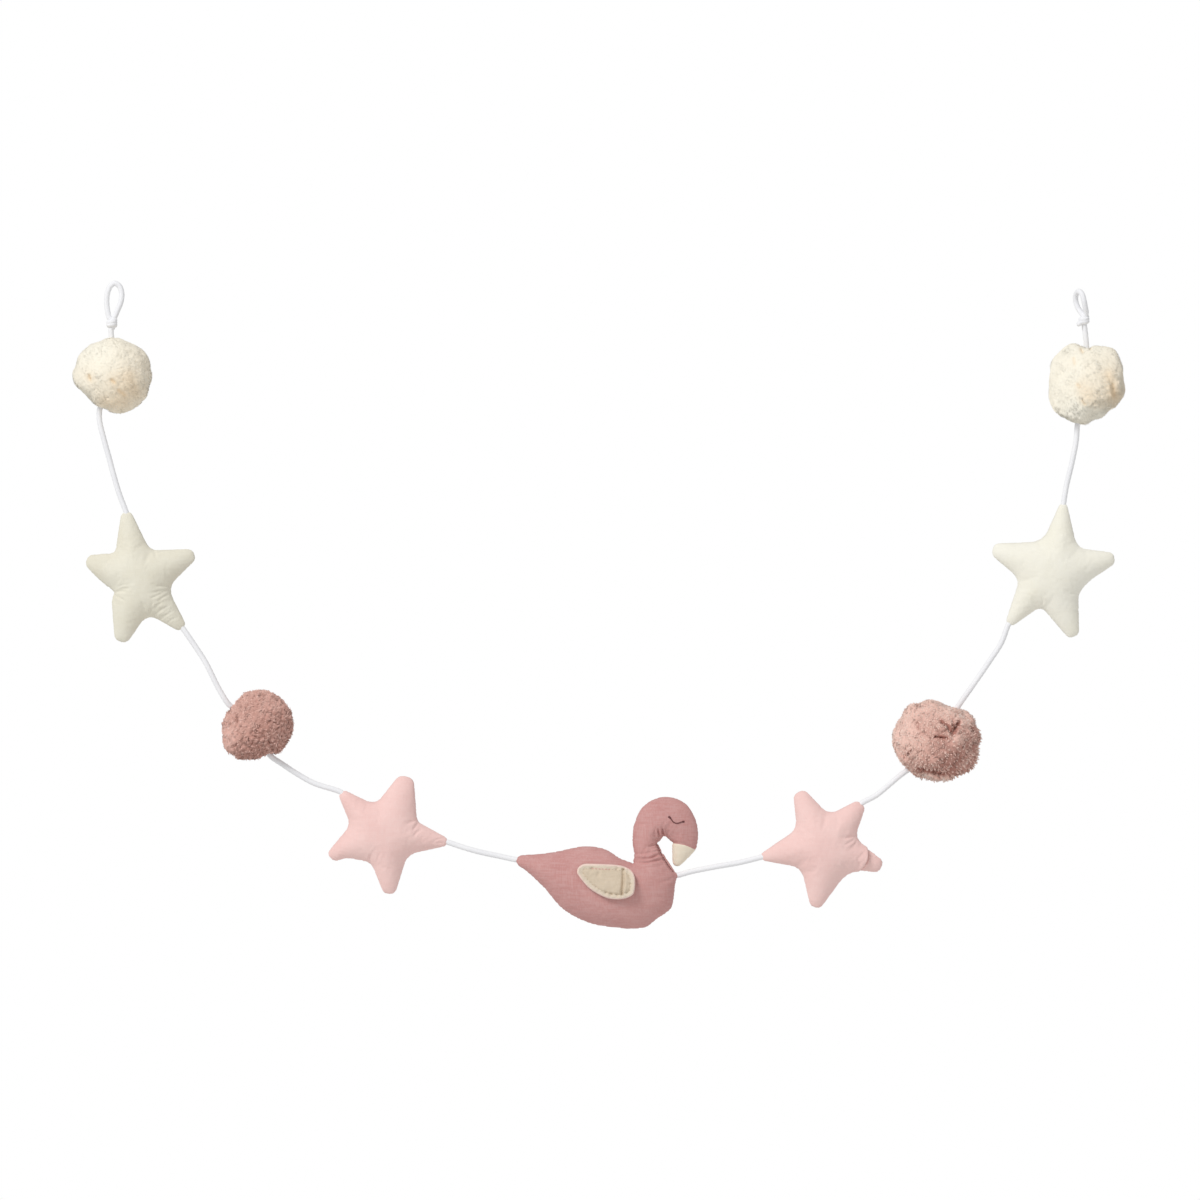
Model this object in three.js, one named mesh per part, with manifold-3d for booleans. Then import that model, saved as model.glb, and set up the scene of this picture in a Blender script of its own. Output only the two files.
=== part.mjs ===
// Nursery garland: stuffed muslin stars, a stuffed muslin flamingo and yarn pompoms on one cotton
// cord, which ends in a knotted hanging loop at each side.
// Millimetres. X runs along the garland to the right, the front faces -Y and Z is up. The origin is
// the spot under the top of the left loop where a hook bears. The cord and all seams lie near Y = 0.
import * as THREE from "three";
import { mergeVertices } from "three/addons/utils/BufferGeometryUtils.js";
import Module from "manifold-3d";

const wasm = await Module();
wasm.setup();

// Driving dimensions
const GAP = 0.3; // between neighbouring pieces
const CORD_DIAMETER = 4.7;
const CORD_SIDES = 8;
const CORD_CORNER = 0.33 * CORD_DIAMETER; // how far out its end's corner lies that could touch
const CORD_STEP = 11; // length of one straight step along a hanging stretch
const LOOP_STEP = 7; // the same in the tight hanging loops
const SEAM_STEP = 5; // spacing of points along a stuffed piece's seam
const PANEL_STEP = 6; // spacing of points over a stuffed piece's panels
const STAR_FULLNESS = 0.7; // thickness of a stuffed arm against its width
const FLAMINGO_FULLNESS = 0.78;
const BACK_FOLD_SHARE = 0.5; // depth of the folds behind, against those in front
const TIP_ROUND = 0.44; // rounding of each corner of an arm's tip, against the tip's width
const BEND_DEPTH = 0.22; // how much deeper a bend's corner lies than its rounded seam, by rounding
const POMPOM_CORE = 0.74; // radius of the dense core against the pompom's own
const POMPOM_DETAIL = 2; // cuts of each edge of the octahedron that the locks are laid out on
const LOCK_RISE = 0.05; // how far the locks' tops pass the radius, because none points along an axis
const LOCK_CLEFT = 0.2; // how far a lock's corners draw in towards its middle
const LOCK_DOME = 0.07; // how far its rim lies below its top, against the pompom's radius
const LOCK_SHIFT = 0.05; // how far the locks' corners stray from an even layout
const WING_THICKNESS = 3.6;
const WING_RIM = 0.45; // thickness at the wing's edge against its middle
const WING_SEAT = 0.9; // from the body's cloth to the wing's
const WING_LIFT = 2.2; // how much further its rounded end stands off the body
const KNOT_WIDTH = 9.6;
const KNOT_HEIGHT = 9.4;
const CLOTH_ROUGHNESS = 0.95;
const YARN_ROUGHNESS = 1;

const COLOURS = {
  cream: 0xe4e0cf,
  pink: 0xeecac4,
  dusky: 0xc4938e,
  beak: 0xdccdb9,
  wing: 0xd8c6ae,
  creamYarn: 0xefe4cd,
  roseYarn: 0xc29a8d,
  cord: 0xf1f1ef,
};

// Stars, seen from the front, each from its own centre. Going anticlockwise, a row is either an arm's
// tip, with its direction in degrees, its distance and its width, or a bend of the seam between two
// tips, with its direction, its distance and how far its rounding reaches along both its sides.
// Folds start on the seam in one direction and run inwards, swung aside by some degrees.
const STARS = [
  {
    name: "star_cream_left",
    colour: "cream",
    centre: [23.5, -253.8],
    seam: [
      { tip: "right", angle: 25.4, reach: 51, width: 9 },
      { angle: 73, reach: 27.7, round: 8 },
      { tip: "top", angle: 102.3, reach: 59.3, width: 8 },
      { angle: 134, reach: 32.3, round: 5 },
      { tip: "left", angle: 160.2, reach: 49.4, width: 9 },
      { angle: 184, reach: 36, round: 12 },
      { angle: 206, reach: 25, round: 4 },
      { angle: 215, reach: 31.4, round: 5 },
      { tip: "lower_left", angle: 252.4, reach: 56.4, width: 10.5 },
      { angle: 281, reach: 32, round: 12 },
      { tip: "lower_right", angle: 310.7, reach: 55.5, width: 8 },
      { angle: 343, reach: 26.2, round: 12 },
    ],
    folds: [
      { angle: 343, reach: 26, swing: 26, length: 24, depth: 1.6, width: 3 },
      { angle: 343, reach: 26, swing: -18, length: 20, depth: 1.8, width: 3 },
      { angle: 206, reach: 25, swing: 8, length: 18, depth: 1.5, width: 3 },
      { angle: 281, reach: 32, swing: -30, length: 16, depth: 1.6, width: 3 },
    ],
  },
  {
    name: "star_pink_left",
    colour: "pink",
    centre: [233.8, -473.2],
    seam: [
      { tip: "top", angle: 68.1, reach: 52.3, width: 12 },
      { angle: 99, reach: 28.3, round: 4 },
      { angle: 115, reach: 29.6, round: 5 },
      { tip: "upper_left", angle: 136.4, reach: 50.5, width: 6 },
      { angle: 166, reach: 30.6, round: 8 },
      { tip: "lower_left", angle: 204.6, reach: 50.5, width: 9 },
      { angle: 213, reach: 39, round: 5 },
      { angle: 247, reach: 28.5, round: 7 },
      { tip: "bottom", angle: 275.4, reach: 52.4, width: 9 },
      { angle: 318, reach: 29.1, round: 10 },
      { tip: "right", angle: 351.9, reach: 55, width: 6 },
      { angle: 19, reach: 30.9, round: 5 },
    ],
    folds: [
      { angle: 19, reach: 30, swing: 28, length: 17, depth: 1.8, width: 3 },
      { angle: 247, reach: 28, swing: 12, length: 12, depth: 1.2, width: 3 },
    ],
  },
  {
    name: "star_pink_right",
    colour: "pink",
    centre: [616.1, -482.6],
    seam: [
      { tip: "upper_right", angle: 48.4, reach: 46.6, width: 9 },
      { angle: 84, reach: 27, round: 10 },
      { tip: "upper_left", angle: 117.4, reach: 50.7, width: 10.5 },
      { angle: 153, reach: 29.8, round: 9 },
      { tip: "left", angle: 191.6, reach: 56.6, width: 6 },
      { angle: 224, reach: 31.4, round: 10 },
      { tip: "bottom", angle: 260.6, reach: 55.6, width: 8.5 },
      { angle: 311, reach: 32.8, round: 14 },
      { tip: "lower_right", angle: 337.5, reach: 52.2, width: 11 },
      { angle: 12, reach: 27.4, round: 9 },
    ],
    folds: [
      { angle: 348, reach: 40, swing: 64, length: 17, depth: 4.2, width: 3.4 },
      { angle: 12, reach: 28, swing: -14, length: 15, depth: 1.8, width: 3 },
      { angle: 312, reach: 33, swing: 6, length: 17, depth: 1.2, width: 3 },
    ],
  },
  {
    name: "star_cream_right",
    colour: "cream",
    centre: [811, -248.3],
    seam: [
      { tip: "right", angle: 13.4, reach: 56.3, width: 9.5 },
      { angle: 44, reach: 33, round: 9 },
      { tip: "top", angle: 79.9, reach: 61, width: 6 },
      { angle: 104.5, reach: 30.6, round: 12 },
      { tip: "left", angle: 157.6, reach: 54.6, width: 10 },
      { angle: 191, reach: 29.4, round: 9 },
      { tip: "lower_left", angle: 230.4, reach: 57.2, width: 7 },
      { angle: 253, reach: 31.3, round: 7 },
      { tip: "lower_right", angle: 289.8, reach: 58.5, width: 9.5 },
      { angle: 323, reach: 30.6, round: 6 },
      { angle: 348, reach: 35, round: 8 },
    ],
    folds: [
      { angle: 323, reach: 30, swing: 16, length: 16, depth: 1.3, width: 3 },
      { angle: 253, reach: 31, swing: -14, length: 14, depth: 1.4, width: 3 },
    ],
  },
];

// Pompoms: centre, the three diameters along X, Y and Z, the directions of the two cords in degrees,
// anticlockwise from +X as seen from the front, and how uneven the locks are.
const POMPOMS = [
  {
    name: "pompom_cream_left",
    colour: "creamYarn",
    centre: [-1, -77],
    size: [70, 67, 67],
    cords: [90, 249],
    uneven: 0.05,
  },
  {
    name: "pompom_rose_left",
    colour: "roseYarn",
    centre: [124.5, -379.2],
    size: [62, 61, 61],
    cords: [145, 289],
    uneven: 0.04,
  },
  {
    name: "pompom_rose_right",
    colour: "roseYarn",
    centre: [711.8, -392.3],
    size: [79, 74, 73],
    cords: [57, 229],
    uneven: 0.09,
  },
  {
    name: "pompom_cream_right",
    colour: "creamYarn",
    centre: [841.7, -84.3],
    size: [67, 68, 70],
    cords: [89, 257],
    uneven: 0.06,
  },
];

// The flamingo, anticlockwise from its tail's tip: smooth stretches of seam that meet in corners.
const FLAMINGO_PLACE = [348.2, -496.5];
const FLAMINGO_START = [0.3, -1.6];
const FLAMINGO_SEAM = {
  belly: [[6.9, -6.9], [23.3, -22.1], [41.8, -42.6], [65.6, -54.5], [96, -58.9]],
  breast: [[112, -57.5], [122, -50], [133.5, -41.5], [136, -31], [137.4, -20], [140.1, -13]],
  throat: [[131.8, -0.9], [125.5, 8.5], [122.6, 14.4]],
  hook: [[128.5, 20.3], [135.1, 15]],
  beakUnder: [[134.7, 1.4], [136.6, -3.6], [141, -5]],
  beakOver: [[144.3, -2.6], [150.2, 2.6], [155.4, 9.1]],
  head: [[157, 21], [154.6, 35.4], [145.1, 49.4], [126.5, 54.1], [109.5, 45.2], [101.9, 29]],
  nape: [[101.2, 16], [102.6, 4], [101.4, -3.3]],
  back: [[90.8, 0.4], [77, 8.7], [60.3, 11.4], [32.5, 6.4], [16.4, 5.2], [1.3, 2.2]],
};
const FLAMINGO_FOLDS = [
  { from: [103.5, 5.6], to: [126, 6.4], depth: 1.5, width: 2.6 },
  { from: [104, 0.2], to: [129, 0.8], depth: 1.8, width: 2.6 },
  { from: [126.5, 19], to: [121.5, 29], depth: 1.5, width: 2.6 },
];
// A block that holds the beak and nothing else. Its first edge is the seam between head and beak.
const BEAK_BLOCK = [[157.8, 9], [133.3, 15.7], [133.2, 1.2], [136.2, -5.6], [143, -7.5], [158, 3]];
const WING_EDGE = [
  [52.7, -10.4], [58.6, -19], [68.5, -28.4], [79.5, -33.6], [90, -33.8], [99.4, -30.3],
  [103.2, -20.5], [99.4, -10.4], [90, -4.8], [76.9, -3.4], [61, -3.2],
];
// Where the cord meets the flamingo's seam, and the direction out of it
const FLAMINGO_CORDS = {
  tail: { at: [0.8, 0.3], angle: 180 },
  breast: { at: [140.1, -13], angle: 0 },
};

// Hanging stretches of cord. Each end is a star's arm, a pompom's first or second cord direction, or
// the flamingo's tail or breast. The points between are X, Z by hand.
const CORDS = [
  {
    name: "cord_1",
    from: ["pompom_cream_left", 1],
    via: [[-12, -107], [-12.2, -116], [-8.4, -132.3], [-4.1, -147.9], [0.3, -164.3], [5, -180]],
    to: ["star_cream_left", "top"],
  },
  {
    name: "cord_2",
    from: ["star_cream_left", "lower_right"],
    via: [[68.5, -308.5], [79.5, -325.5], [91.1, -348.5], [99.9, -362.1]],
    to: ["pompom_rose_left", 0],
  },
  {
    name: "cord_3",
    from: ["pompom_rose_left", 1],
    via: [[136.6, -407.2], [144.6, -412.6], [158.6, -421.8], [173.4, -430]],
    to: ["star_pink_left", "upper_left"],
  },
  {
    name: "cord_4",
    from: ["star_pink_left", "right"],
    via: [[302, -485.4], [317, -489.6], [333, -493]],
    to: ["flamingo", "tail"],
  },
  {
    name: "cord_5",
    from: ["flamingo", "breast"],
    via: [[498.7, -506.7], [520.3, -502.4], [541.9, -498.6]],
    to: ["star_pink_right", "left"],
  },
  {
    name: "cord_6",
    from: ["star_pink_right", "upper_right"],
    via: [[663, -439.6], [676, -427.4]],
    to: ["pompom_rose_right", 1],
  },
  {
    name: "cord_7",
    from: ["pompom_rose_right", 0],
    via: [[733, -360], [744.6, -343.6], [758.4, -323.5], [768, -308.5]],
    to: ["star_cream_right", "lower_left"],
  },
  {
    name: "cord_8",
    from: ["star_cream_right", "top"],
    via: [[824, -174], [829.3, -151.5], [832.6, -134], [833.8, -120]],
    to: ["pompom_cream_right", 1],
  },
];

// The cord's two ends: the knot, the short stem from it into the pompom, and the hanging loop.
const ENDS = [
  {
    side: "left",
    knot: [-1.5, 0, -32.2],
    knotTurn: 0,
    stem: [[-2.2, 0, -37.3], [-1.8, 0, -44], [-1, 0, -51.9]],
    loop: [
      [-4, 0.6, -26.8], [-5.4, 1, -20.5], [-6, 0.8, -13], [-5.1, 0.2, -5.5], [-2.6, 0, 0],
      [1.2, 0, 2.3], [5, 0, 0], [7.1, -0.4, -6.5], [6.3, -0.8, -14], [3.6, -0.8, -20.8],
      [1, -0.6, -26.8],
    ],
  },
  {
    side: "right",
    knot: [839.4, 0, -29.5],
    knotTurn: 50,
    stem: [[839.8, 0, -34.8], [841, 0, -45], [842.1, 0, -58]],
    loop: [
      [841.2, -1.6, -23.6], [840.4, -4.2, -19.2], [839, -6, -12.5], [837.4, -4.6, -7],
      [835, -0.4, -4.6], [832.8, 4, -7.2], [832.5, 6, -12.5], [834.6, 4.8, -19],
      [837.6, 1.8, -23.6],
    ],
  },
];

const DEGREE = Math.PI / 180;
const vector = ([x, y]) => new THREE.Vector2(x, y);
const polar = (angle, reach) =>
  vector([reach * Math.cos(angle * DEGREE), reach * Math.sin(angle * DEGREE)]);

// A solid for joining and cutting, and back again
function toSolid(geometry) {
  const bare = new THREE.BufferGeometry().setAttribute("position", geometry.getAttribute("position"));
  bare.setIndex(geometry.index);
  const merged = mergeVertices(bare);
  const mesh = new wasm.Mesh({
    numProp: 3,
    vertProperties: new Float32Array(merged.attributes.position.array),
    triVerts: new Uint32Array(merged.index.array),
  });
  return new wasm.Manifold(mesh);
}

function toGeometry(solid) {
  const mesh = solid.getMesh();
  const geometry = new THREE.BufferGeometry();
  geometry.setAttribute("position", new THREE.BufferAttribute(new Float32Array(mesh.vertProperties), 3));
  geometry.setIndex(new THREE.BufferAttribute(new Uint32Array(mesh.triVerts), 1));
  geometry.computeVertexNormals();
  return geometry;
}

function geometryOf(points, triangles) {
  const geometry = new THREE.BufferGeometry();
  geometry.setAttribute("position", new THREE.Float32BufferAttribute(points.flat(), 3));
  geometry.setIndex(triangles.flat());
  geometry.computeVertexNormals();
  return geometry;
}

// The same fraction from 0 to 1 for the same number each time, for evenly scattered unevenness
function scatter(n) {
  const wave = Math.sin(n * 12.9898 + 4.1) * 43758.5453;
  return wave - Math.floor(wave);
}

// Triangles over a flat set of points, none of which lies inside another triangle's circle
function delaunay(points) {
  const FAR = 1e4;
  const all = [...points, vector([-FAR, -FAR]), vector([FAR, -FAR]), vector([0, FAR])];
  const make = (a, b, c) => {
    const [p, q, r] = [all[a], all[b], all[c]];
    const d = 2 * ((q.x - p.x) * (r.y - p.y) - (q.y - p.y) * (r.x - p.x));
    const u = q.distanceToSquared(p);
    const v = r.distanceToSquared(p);
    const x = p.x + ((r.y - p.y) * u - (q.y - p.y) * v) / d;
    const y = p.y + ((q.x - p.x) * v - (r.x - p.x) * u) / d;
    return { corners: [a, b, c], x, y, reach: (p.x - x) ** 2 + (p.y - y) ** 2 };
  };
  let triangles = [make(points.length, points.length + 1, points.length + 2)];
  points.forEach((point, i) => {
    const near = (t) => (point.x - t.x) ** 2 + (point.y - t.y) ** 2 < t.reach;
    const sides = triangles.filter(near).flatMap(({ corners: [a, b, c] }) => [[a, b], [b, c], [c, a]]);
    const rim = sides.filter(([a, b]) => !sides.some(([c, d]) => a === d && b === c));
    triangles = triangles.filter((t) => !near(t)).concat(rim.map(([a, b]) => make(a, b, i)));
  });
  return triangles.map((t) => t.corners).filter((corners) => Math.max(...corners) < points.length);
}

function isInside(point, outline) {
  let inside = false;
  outline.forEach((a, i) => {
    const b = outline[(i + 1) % outline.length];
    const crosses = a.y > point.y !== b.y > point.y;
    if (crosses && point.x < a.x + ((b.x - a.x) * (point.y - a.y)) / (b.y - a.y)) inside = !inside;
  });
  return inside;
}

// How near a point is to the straight stretch from a to b, and how far along it lies, from 0 to 1
function nearness(point, a, b) {
  const along = b.clone().sub(a);
  const share = THREE.MathUtils.clamp(point.clone().sub(a).dot(along) / along.lengthSq(), 0, 1);
  return { share, distance: a.clone().addScaledVector(along, share).distanceTo(point) };
}

function distanceToOutline(point, outline) {
  return Math.min(...outline.map((a, i) => nearness(point, a, outline[(i + 1) % outline.length]).distance));
}

// Evenly spaced points along each curve of a closed path, which keep the corners between the curves
function alongPath(path, step) {
  return path.curves.flatMap((curve) => {
    const steps = Math.max(1, Math.round(curve.getLength() / step));
    return curve.getSpacedPoints(steps).slice(0, -1);
  });
}

// A cut panel: the outline's points, three rows of points along each fold, even points between
// them, and triangles over them all. An edge that crosses from seam to seam is split, so that only
// seam points lie on the seam.
function cutPanel(outline, folds) {
  const SEAM_ROOM = 0.5 * SEAM_STEP;
  const POINT_ROOM = 0.62 * PANEL_STEP;
  const points = [...outline];
  const addPoint = (p, room) => {
    const clear = points.every((q) => q.distanceTo(p) > room);
    if (clear && isInside(p, outline) && distanceToOutline(p, outline) > SEAM_ROOM) points.push(p);
  };
  folds.forEach(({ from, to, width }) => {
    const along = to.clone().sub(from);
    const aside = new THREE.Vector2(-along.y, along.x).setLength(width);
    const steps = Math.max(2, Math.round(along.length() / (1.3 * width)));
    for (const side of [0, -1, 1]) {
      for (let i = 0; i <= steps; i += 1) {
        addPoint(from.clone().addScaledVector(along, i / steps).addScaledVector(aside, side), 0.7 * width);
      }
    }
  });
  const low = outline.reduce((lowest, p) => lowest.clone().min(p), outline[0]);
  const high = outline.reduce((highest, p) => highest.clone().max(p), outline[0]);
  const rise = (PANEL_STEP * Math.sqrt(3)) / 2;
  for (let row = 0; low.y + row * rise < high.y; row += 1) {
    for (let x = low.x + (row % 2) * 0.5 * PANEL_STEP; x < high.x; x += PANEL_STEP) {
      addPoint(vector([x, low.y + row * rise]), POINT_ROOM);
    }
  }
  const centre = ([a, b, c]) => points[a].clone().add(points[b]).add(points[c]).divideScalar(3);
  let triangles = delaunay(points).filter((t) => isInside(centre(t), outline));
  const rim = outline.length;
  const onSeam = (a, b) => a < rim && b < rim;
  const beside = (a, b) => Math.abs(a - b) === 1 || Math.abs(a - b) === rim - 1;
  for (;;) {
    const sides = triangles.flatMap(([a, b, c]) => [[a, b], [b, c], [c, a]]);
    const crossing = sides.find(([a, b]) => onSeam(a, b) && !beside(a, b));
    if (!crossing) break;
    const [a, b] = crossing;
    const middle = points.push(points[a].clone().add(points[b]).multiplyScalar(0.5)) - 1;
    triangles = triangles.flatMap((t) => {
      const at = t.findIndex((v, i) => {
        const next = t[(i + 1) % 3];
        return (v === a && next === b) || (v === b && next === a);
      });
      if (at < 0) return [t];
      const [p, q, r] = [t[at], t[(at + 1) % 3], t[(at + 2) % 3]];
      return [[p, middle, r], [middle, q, r]];
    });
  }
  return { points, triangles, rim };
}

// How far a panel swells from the seam's plane when it is stuffed: a panel under even pressure,
// taut across its narrow places. An endless strip of width w swells to half of w times fullness.
function swell({ points, triangles, rim }, fullness, folds) {
  const ROUNDS = 400;
  const LEAST_PULL = 0.05; // between two points whose triangles are thin
  const FOLD_FADE = 0.6; // of a fold's depth is lost towards its inner end
  const LEAST_SHARE = 0.35; // of the full swelling stays in the deepest fold
  const pulls = points.map(() => new Map());
  const loads = points.map(() => 0);
  for (const t of triangles) {
    for (let i = 0; i < 3; i += 1) {
      const [a, b, c] = [t[i], t[(i + 1) % 3], t[(i + 2) % 3]];
      const toA = points[a].clone().sub(points[c]);
      const toB = points[b].clone().sub(points[c]);
      const area = Math.abs(toA.cross(toB)) / 2;
      const pull = Math.max(LEAST_PULL, toA.dot(toB) / area / 4);
      pulls[a].set(b, (pulls[a].get(b) ?? 0) + pull);
      pulls[b].set(a, (pulls[b].get(a) ?? 0) + pull);
      loads[c] += area / 3;
    }
  }
  const swelling = points.map(() => 0);
  for (let round = 0; round < ROUNDS; round += 1) {
    for (let i = rim; i < points.length; i += 1) {
      let sum = loads[i];
      let share = 0;
      pulls[i].forEach((pull, j) => {
        sum += pull * swelling[j];
        share += pull;
      });
      swelling[i] = sum / share;
    }
  }
  return points.map((point, i) => {
    if (i < rim) return 0;
    const full = fullness * Math.sqrt(2 * swelling[i]);
    const sunk = folds.reduce((most, { from, to, depth, width }) => {
      const { share, distance } = nearness(point, from, to);
      return Math.max(most, depth * (1 - FOLD_FADE * share) * Math.max(0, 1 - (distance / width) ** 2));
    }, 0);
    return Math.max(LEAST_SHARE * full, full - sunk);
  });
}

// Front and back panels joined along the seam
function stuffed(panel, fullness, folds) {
  const front = swell(panel, fullness, folds);
  const backFolds = folds.map((fold) => ({ ...fold, depth: BACK_FOLD_SHARE * fold.depth }));
  const back = swell(panel, fullness, backFolds);
  const { points, triangles, rim } = panel;
  const inner = points.length - rim;
  const vertices = [
    ...points.map((p, i) => [p.x, -front[i], p.y]),
    ...points.slice(rim).map((p, i) => [p.x, back[i + rim], p.y]),
  ];
  const behind = (i) => (i < rim ? i : i + inner);
  const faces = [...triangles, ...triangles.map(([a, b, c]) => [behind(a), behind(c), behind(b)])];
  return { geometry: geometryOf(vertices, faces), front };
}

// Stars. The seam's points are evenly spaced from each tip to the next, so that every tip has one.
function starOutline(seam) {
  const places = seam.map(({ tip, angle, reach, round }) =>
    polar(angle, tip ? reach : reach - BEND_DEPTH * round));
  const corners = seam.flatMap(({ tip, width, round }, i) => {
    const at = places[i];
    if (!tip) return [{ at, round }];
    const root = places.at(i - 1).clone().add(places[(i + 1) % places.length]).multiplyScalar(0.5);
    const along = at.clone().sub(root).normalize();
    const aside = new THREE.Vector2(-along.y, along.x).multiplyScalar(width / 2);
    return [
      { at: at.clone().sub(aside), round: TIP_ROUND * width, last: at },
      { at: at.clone().add(aside), round: TIP_ROUND * width, first: at },
    ];
  });
  corners.push(corners.shift());
  const stretches = [];
  corners.forEach(({ at, round, first, last }, i) => {
    const towards = (other) => {
      const way = other.clone().sub(at);
      return way.setLength(Math.min(round, 0.49 * way.length())).add(at);
    };
    const start = towards(corners.at(i - 1).at);
    const end = towards(corners[(i + 1) % corners.length].at);
    if (first) stretches.push(new THREE.Path().moveTo(first.x, first.y));
    stretches.at(-1).lineTo(start.x, start.y).quadraticCurveTo(at.x, at.y, end.x, end.y);
    if (last) stretches.at(-1).lineTo(last.x, last.y);
  });
  return stretches.flatMap((path) =>
    path.getSpacedPoints(Math.round(path.getLength() / SEAM_STEP)).slice(0, -1));
}

function starFold(fold) {
  const from = polar(fold.angle, fold.reach);
  return { ...fold, from, to: from.clone().add(polar(fold.angle + 180 + fold.swing, fold.length)) };
}

function makeStar({ seam, folds }) {
  const lines = folds.map(starFold);
  return stuffed(cutPanel(starOutline(seam), lines), STAR_FULLNESS, lines).geometry;
}

// Pompoms. A ball of triangles, turned so that the cords leave through the middles of two of them,
// is bent until it fits the cords' real directions. A three-sided lock stands on each of the other
// triangles, apart from its neighbours by a cleft whose floor is the core.
function bendToCords(direction, [first, second]) {
  const bend = THREE.MathUtils.euclideanModulo(second - first, 360) - 180;
  const sideways = (90 - first - (bend * (1 - direction.z)) / 2) * DEGREE;
  return direction.clone().applyAxisAngle(new THREE.Vector3(0, 1, 0), sideways);
}

function makePompom({ size, cords, uneven }, seed) {
  const octahedron = new THREE.OctahedronGeometry(1, POMPOM_DETAIL);
  const ball = mergeVertices(octahedron.deleteAttribute("normal").deleteAttribute("uv"));
  const spots = Array.from({ length: ball.attributes.position.count }, (_, i) =>
    new THREE.Vector3().fromBufferAttribute(ball.attributes.position, i).normalize());
  const faces = Array.from({ length: ball.index.count / 3 }, (_, i) =>
    [0, 1, 2].map((corner) => ball.index.getX(3 * i + corner)));
  const middleOf = (face) =>
    face.reduce((sum, i) => sum.add(spots[i]), new THREE.Vector3()).normalize();
  const up = new THREE.Vector3(0, 0, 1);
  const upright = new THREE.Quaternion().setFromUnitVectors(middleOf(faces[0]), up);
  spots.forEach((spot) => spot.applyQuaternion(upright));
  const isBare = (face) => Math.abs(middleOf(face).z) > 0.999;
  const fixed = new Set(faces.filter(isBare).flat());
  spots.forEach((spot, i) => {
    const shift = [0, 1, 2].map((axis) => 2 * scatter(100 * seed + 3 * i + axis) - 1);
    if (!fixed.has(i)) spot.addScaledVector(new THREE.Vector3(...shift), LOCK_SHIFT).normalize();
  });
  const radius = new THREE.Vector3(...size).multiplyScalar(0.5);
  const place = (direction, share) =>
    bendToCords(direction, cords).multiply(radius).multiplyScalar(share).toArray();
  const points = spots.map((spot) => place(spot, POMPOM_CORE));
  const triangles = [];
  faces.forEach((face, number) => {
    const middle = middleOf(face);
    const first = points.length;
    if (isBare(face)) {
      points.push(place(middle, POMPOM_CORE));
      face.forEach((a, i) => triangles.push([a, face[(i + 1) % 3], first]));
      return;
    }
    const reach = 1 + LOCK_RISE - uneven * scatter(1000 * seed + number);
    const corners = face.map((i) => spots[i].clone().lerp(middle, LOCK_CLEFT).normalize());
    points.push(...corners.map((d) => place(d, POMPOM_CORE)));
    points.push(...corners.map((d) => place(d, reach - LOCK_DOME)));
    points.push(place(middle, reach));
    face.forEach((a, i) => {
      const b = face[(i + 1) % 3];
      const [low, nextLow] = [first + i, first + ((i + 1) % 3)];
      triangles.push([a, b, nextLow], [a, nextLow, low]);
      triangles.push([low, nextLow, nextLow + 3], [low, nextLow + 3, low + 3]);
      triangles.push([low + 3, nextLow + 3, first + 6]);
    });
  });
  return geometryOf(points, triangles);
}

// A pompom's radius in a direction seen from the front
function radiusTowards([x, , z], angle) {
  return polar(angle, 0.5).multiply(vector([x, z])).length();
}

// Flamingo: body and beak swell as one and part at the beak's seam
function flamingoOutline() {
  const path = new THREE.Path();
  path.moveTo(...FLAMINGO_START);
  Object.values(FLAMINGO_SEAM).forEach((points) => path.splineThru(points.map(vector)));
  path.closePath();
  return alongPath(path, SEAM_STEP);
}

function beakBlock(gap) {
  const corners = BEAK_BLOCK.map(([x, y], i) => vector([x, i < 2 ? y - gap : y]));
  const depth = 100;
  const block = new THREE.ExtrudeGeometry(new THREE.Shape(corners), { depth, bevelEnabled: false });
  return toSolid(block.translate(0, 0, -depth / 2).rotateX(Math.PI / 2));
}

const flamingoFolds = FLAMINGO_FOLDS.map(({ from, to, ...fold }) => ({
  ...fold,
  from: vector(from),
  to: vector(to),
}));
const flamingoPanel = cutPanel(flamingoOutline(), flamingoFolds);
const flamingoWhole = stuffed(flamingoPanel, FLAMINGO_FULLNESS, flamingoFolds);
const flamingoSolid = toSolid(flamingoWhole.geometry);

// How far the body's front stands from the seam's plane at a point of it
function bodyFront(point) {
  const { points, triangles } = flamingoPanel;
  const { front } = flamingoWhole;
  const flat = (p) => new THREE.Vector3(p.x, p.y, 0);
  const shares = new THREE.Vector3();
  const under = triangles.find((t) => {
    THREE.Triangle.getBarycoord(flat(point), ...t.map((i) => flat(points[i])), shares);
    return Math.min(shares.x, shares.y, shares.z) > -1e-6;
  });
  return shares.x * front[under[0]] + shares.y * front[under[1]] + shares.z * front[under[2]];
}

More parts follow.
